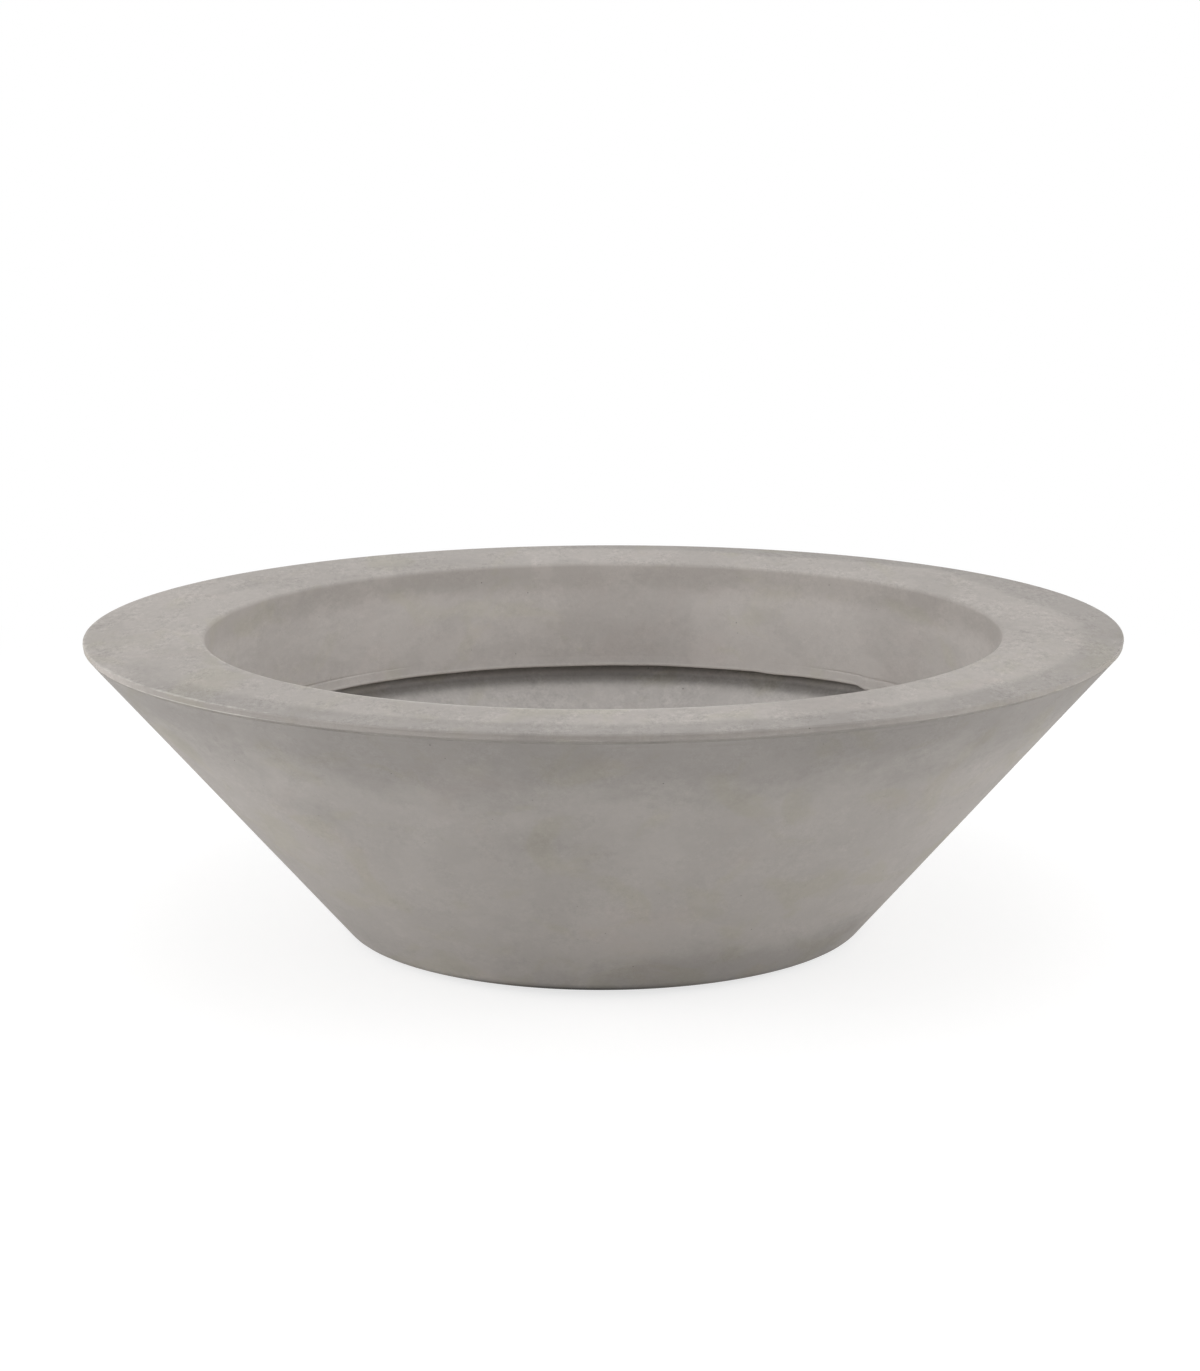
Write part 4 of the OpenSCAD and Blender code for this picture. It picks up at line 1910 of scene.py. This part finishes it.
@dataclass
class Fittings:
    """The CAD nodes that keep their own shape: rod, drain and pads."""

    foot_count: int = 4
    nodes: dict[str, bpy.types.Object] = field(default_factory=lambda: frame["nodes"])

    def dress(self) -> None:
        """Gives each node its finish."""
        pads = PAD_RUBBER.material()
        finishes = {
            "rim_hoop": ROD_STEEL.material(),
            "drain_sleeve": SLEEVE_PLASTIC.material(),
            "drain_seal": SEAL_RUBBER.material(),
            "drain_plug": PLUG_RUBBER.material(),
            **{f"foot_{i + 1}": pads for i in range(self.foot_count)},
        }
        for name, material in finishes.items():
            dress(self.nodes[name], [material])
            log.info("%s keeps its CAD shape, in %s", name, material.name)


# ---------------------------------------------------------------- studio


@dataclass(frozen=True)
class SoftBox:
    """One large soft light: its place and aim in metres, its two sides and its power in watts."""

    title: str
    place: tuple[float, float, float]
    aim: tuple[float, float, float]
    sides: tuple[float, float]
    power: float

    def hang(self) -> None:
        """Puts the light into the scene."""
        lamp = bpy.data.lights.new(self.title, "AREA")
        lamp.shape = "RECTANGLE"
        lamp.size, lamp.size_y = self.sides
        lamp.energy = self.power
        lamp.color = (1.0, 1.0, 1.0)
        holder = into_scene(self.title, lamp)
        holder.location = self.place
        look = Vector(self.aim) - Vector(self.place)
        holder.rotation_euler = look.to_track_quat("-Z", "Y").to_euler()
        log.info("%s: %.1f W", self.title, self.power)


SOFT_BOXES = (
    SoftBox("overhead_box", (0.0, 0.4, 2.1), (0.0, 0.0, 0.2), (2.2, 2.2), 9.8),
    SoftBox("left_box", (-2.2, -0.3, 0.6), (0.0, 0.0, 0.15), (1.2, 1.6), 25.5),
    SoftBox("right_box", (2.2, -0.3, 0.6), (0.0, 0.0, 0.15), (1.2, 1.6), 23.0),
    SoftBox("front_left_box", (-2.0, -2.0, 0.9), (0.0, 0.0, 0.15), (1.4, 1.6), 8.5),
    SoftBox("front_right_box", (2.0, -2.0, 0.9), (0.0, 0.0, 0.15), (1.4, 1.6), 5.0),
    SoftBox("front_box", (0.0, -2.9, 0.33), (0.0, 0.0, 0.15), (2.6, 0.5), 12.0),
    SoftBox("high_front_box", (0.0, -1.3, 2.1), (0.0, 0.0, 0.2), (2.0, 1.2), 8.2),
    SoftBox("back_box", (0.0, 2.2, 1.6), (0.0, 0.0, 0.2), (2.4, 1.2), 12.0),
)


@dataclass(frozen=True)
class Studio:
    """White surroundings, a pale floor and soft light.

    ambient: how strong the even light is. near_reach, far_reach: metres from the axis at which the floor
    starts to turn white for the camera, and at which it is white. lift: how much it shines before that.
    shaded_reach, lit_reach: metres at which it stops being in the bowl's shade, and at which it is lit.
    """

    floor_side: float = 12.0
    floor_colour: str = "#dcdbd9"
    shown_colour: str = "#a9a9a9"
    ambient: float = 0.33
    near_reach: float = 0.75
    far_reach: float = 1.7
    lift: float = 0.72
    shaded_reach: float = 0.16
    lit_reach: float = 0.2

    def build(self) -> None:
        """Makes the floor, the world and the lights."""
        self._floor()
        self._world()
        for box in SOFT_BOXES:
            box.hang()

    def _floor(self) -> None:
        """A pale floor, in its own shade under the bowl, that turns white further out for the camera."""
        side = self.floor_side / 2
        corners = [(-side, -side, 0), (side, -side, 0), (side, side, 0), (-side, side, 0)]
        mesh = bpy.data.meshes.new("floor")
        mesh.from_pydata(corners, [], [(0, 1, 2, 3)])
        floor = into_scene("floor", mesh)
        material = bpy.data.materials.new("floor_pale")
        material.use_nodes = True
        wires = Wiring(material.node_tree)
        place = wires.node("ShaderNodeTexCoord").outputs["Object"]
        away = wires.node("ShaderNodeVectorMath", {0: place}, operation="LENGTH").outputs["Value"]
        far = wires.span(away, self.near_reach, self.far_reach)
        open_air = wires.span(away, self.shaded_reach, self.lit_reach)
        matt = wires.lit("ShaderNodeBsdfDiffuse", linear(self.floor_colour))
        seen_matt = wires.lit("ShaderNodeBsdfDiffuse", linear(self.shown_colour))
        white = wires.lit("ShaderNodeEmission", WHITE, 1.0)
        glow = wires.lit("ShaderNodeEmission", WHITE, self.lift)
        lifted = wires.node("ShaderNodeAddShader", {0: seen_matt, 1: glow}).outputs[0]
        shown = wires.blend(far, wires.blend(open_air, seen_matt, lifted), white)
        both = wires.blend(wires.looked_at(), matt, shown)
        wires.node("ShaderNodeOutputMaterial", {"Surface": both})
        floor.data.materials.append(material)

    def _world(self) -> None:
        """White where it is looked at, and a softer even light on everything else."""
        world = bpy.data.worlds.new("studio")
        bpy.context.scene.world = world
        world.use_nodes = True
        wires = Wiring(world.node_tree)
        light = wires.lit("ShaderNodeBackground", WHITE, self.ambient)
        white = wires.lit("ShaderNodeBackground", WHITE, 1.0)
        both = wires.blend(wires.looked_at(), light, white)
        wires.node("ShaderNodeOutputWorld", {"Surface": both})


@dataclass(frozen=True)
class PhotoCamera:
    """The photograph's view: in front, a little above the rim, almost level.

    elevation, roll: degrees. distance: metres to the target on the axis at target_z.
    focal: the lens in pixels of the photograph. axis_px: where its axis meets the photograph.
    clip: the nearest and the furthest that it sees, in metres.
    """

    elevation: float = 13.258
    roll: float = 0.218
    distance: float = 2.742
    target_z: float = 0.132
    focal: float = 3046.1
    axis_px: tuple[float, float] = (603.75, 779.45)
    clip: tuple[float, float] = (0.1, 60.0)

    def place(self) -> None:
        """Makes the camera and gives it to the scene."""
        long_side = max(PHOTO_WIDTH, PHOTO_HEIGHT)
        data = bpy.data.cameras.new("photo_camera")
        data.sensor_width = SENSOR
        data.lens = self.focal / long_side * SENSOR
        data.shift_x = (PHOTO_WIDTH / 2 - self.axis_px[0]) / long_side
        data.shift_y = (self.axis_px[1] - PHOTO_HEIGHT / 2) / long_side
        data.clip_start, data.clip_end = self.clip
        tilt = math.radians(self.elevation)
        camera = into_scene("photo_camera", data)
        height = self.target_z + self.distance * math.sin(tilt)
        camera.location = (0.0, -self.distance * math.cos(tilt), height)
        level = Euler((math.pi / 2 - tilt, 0.0, 0.0)).to_matrix()
        camera.rotation_euler = (level @ Matrix.Rotation(math.radians(-self.roll), 3, "Z")).to_euler()
        bpy.context.scene.camera = camera
        log.info("camera: lens %.2f mm, shift %.4f, %.4f", data.lens, data.shift_x, data.shift_y)


def main() -> None:
    """Builds the planter's pieces, the studio and the camera."""
    logging.basicConfig(level=logging.INFO, format="%(message)s")
    bpy.context.scene.view_settings.view_transform = "Standard"
    sizes = PlanterSizes()
    PhotoCamera().place()
    Castings(sizes).build()
    Fittings(sizes.foot_count).dress()
    Studio().build()


if __name__ == "__main__":
    main()
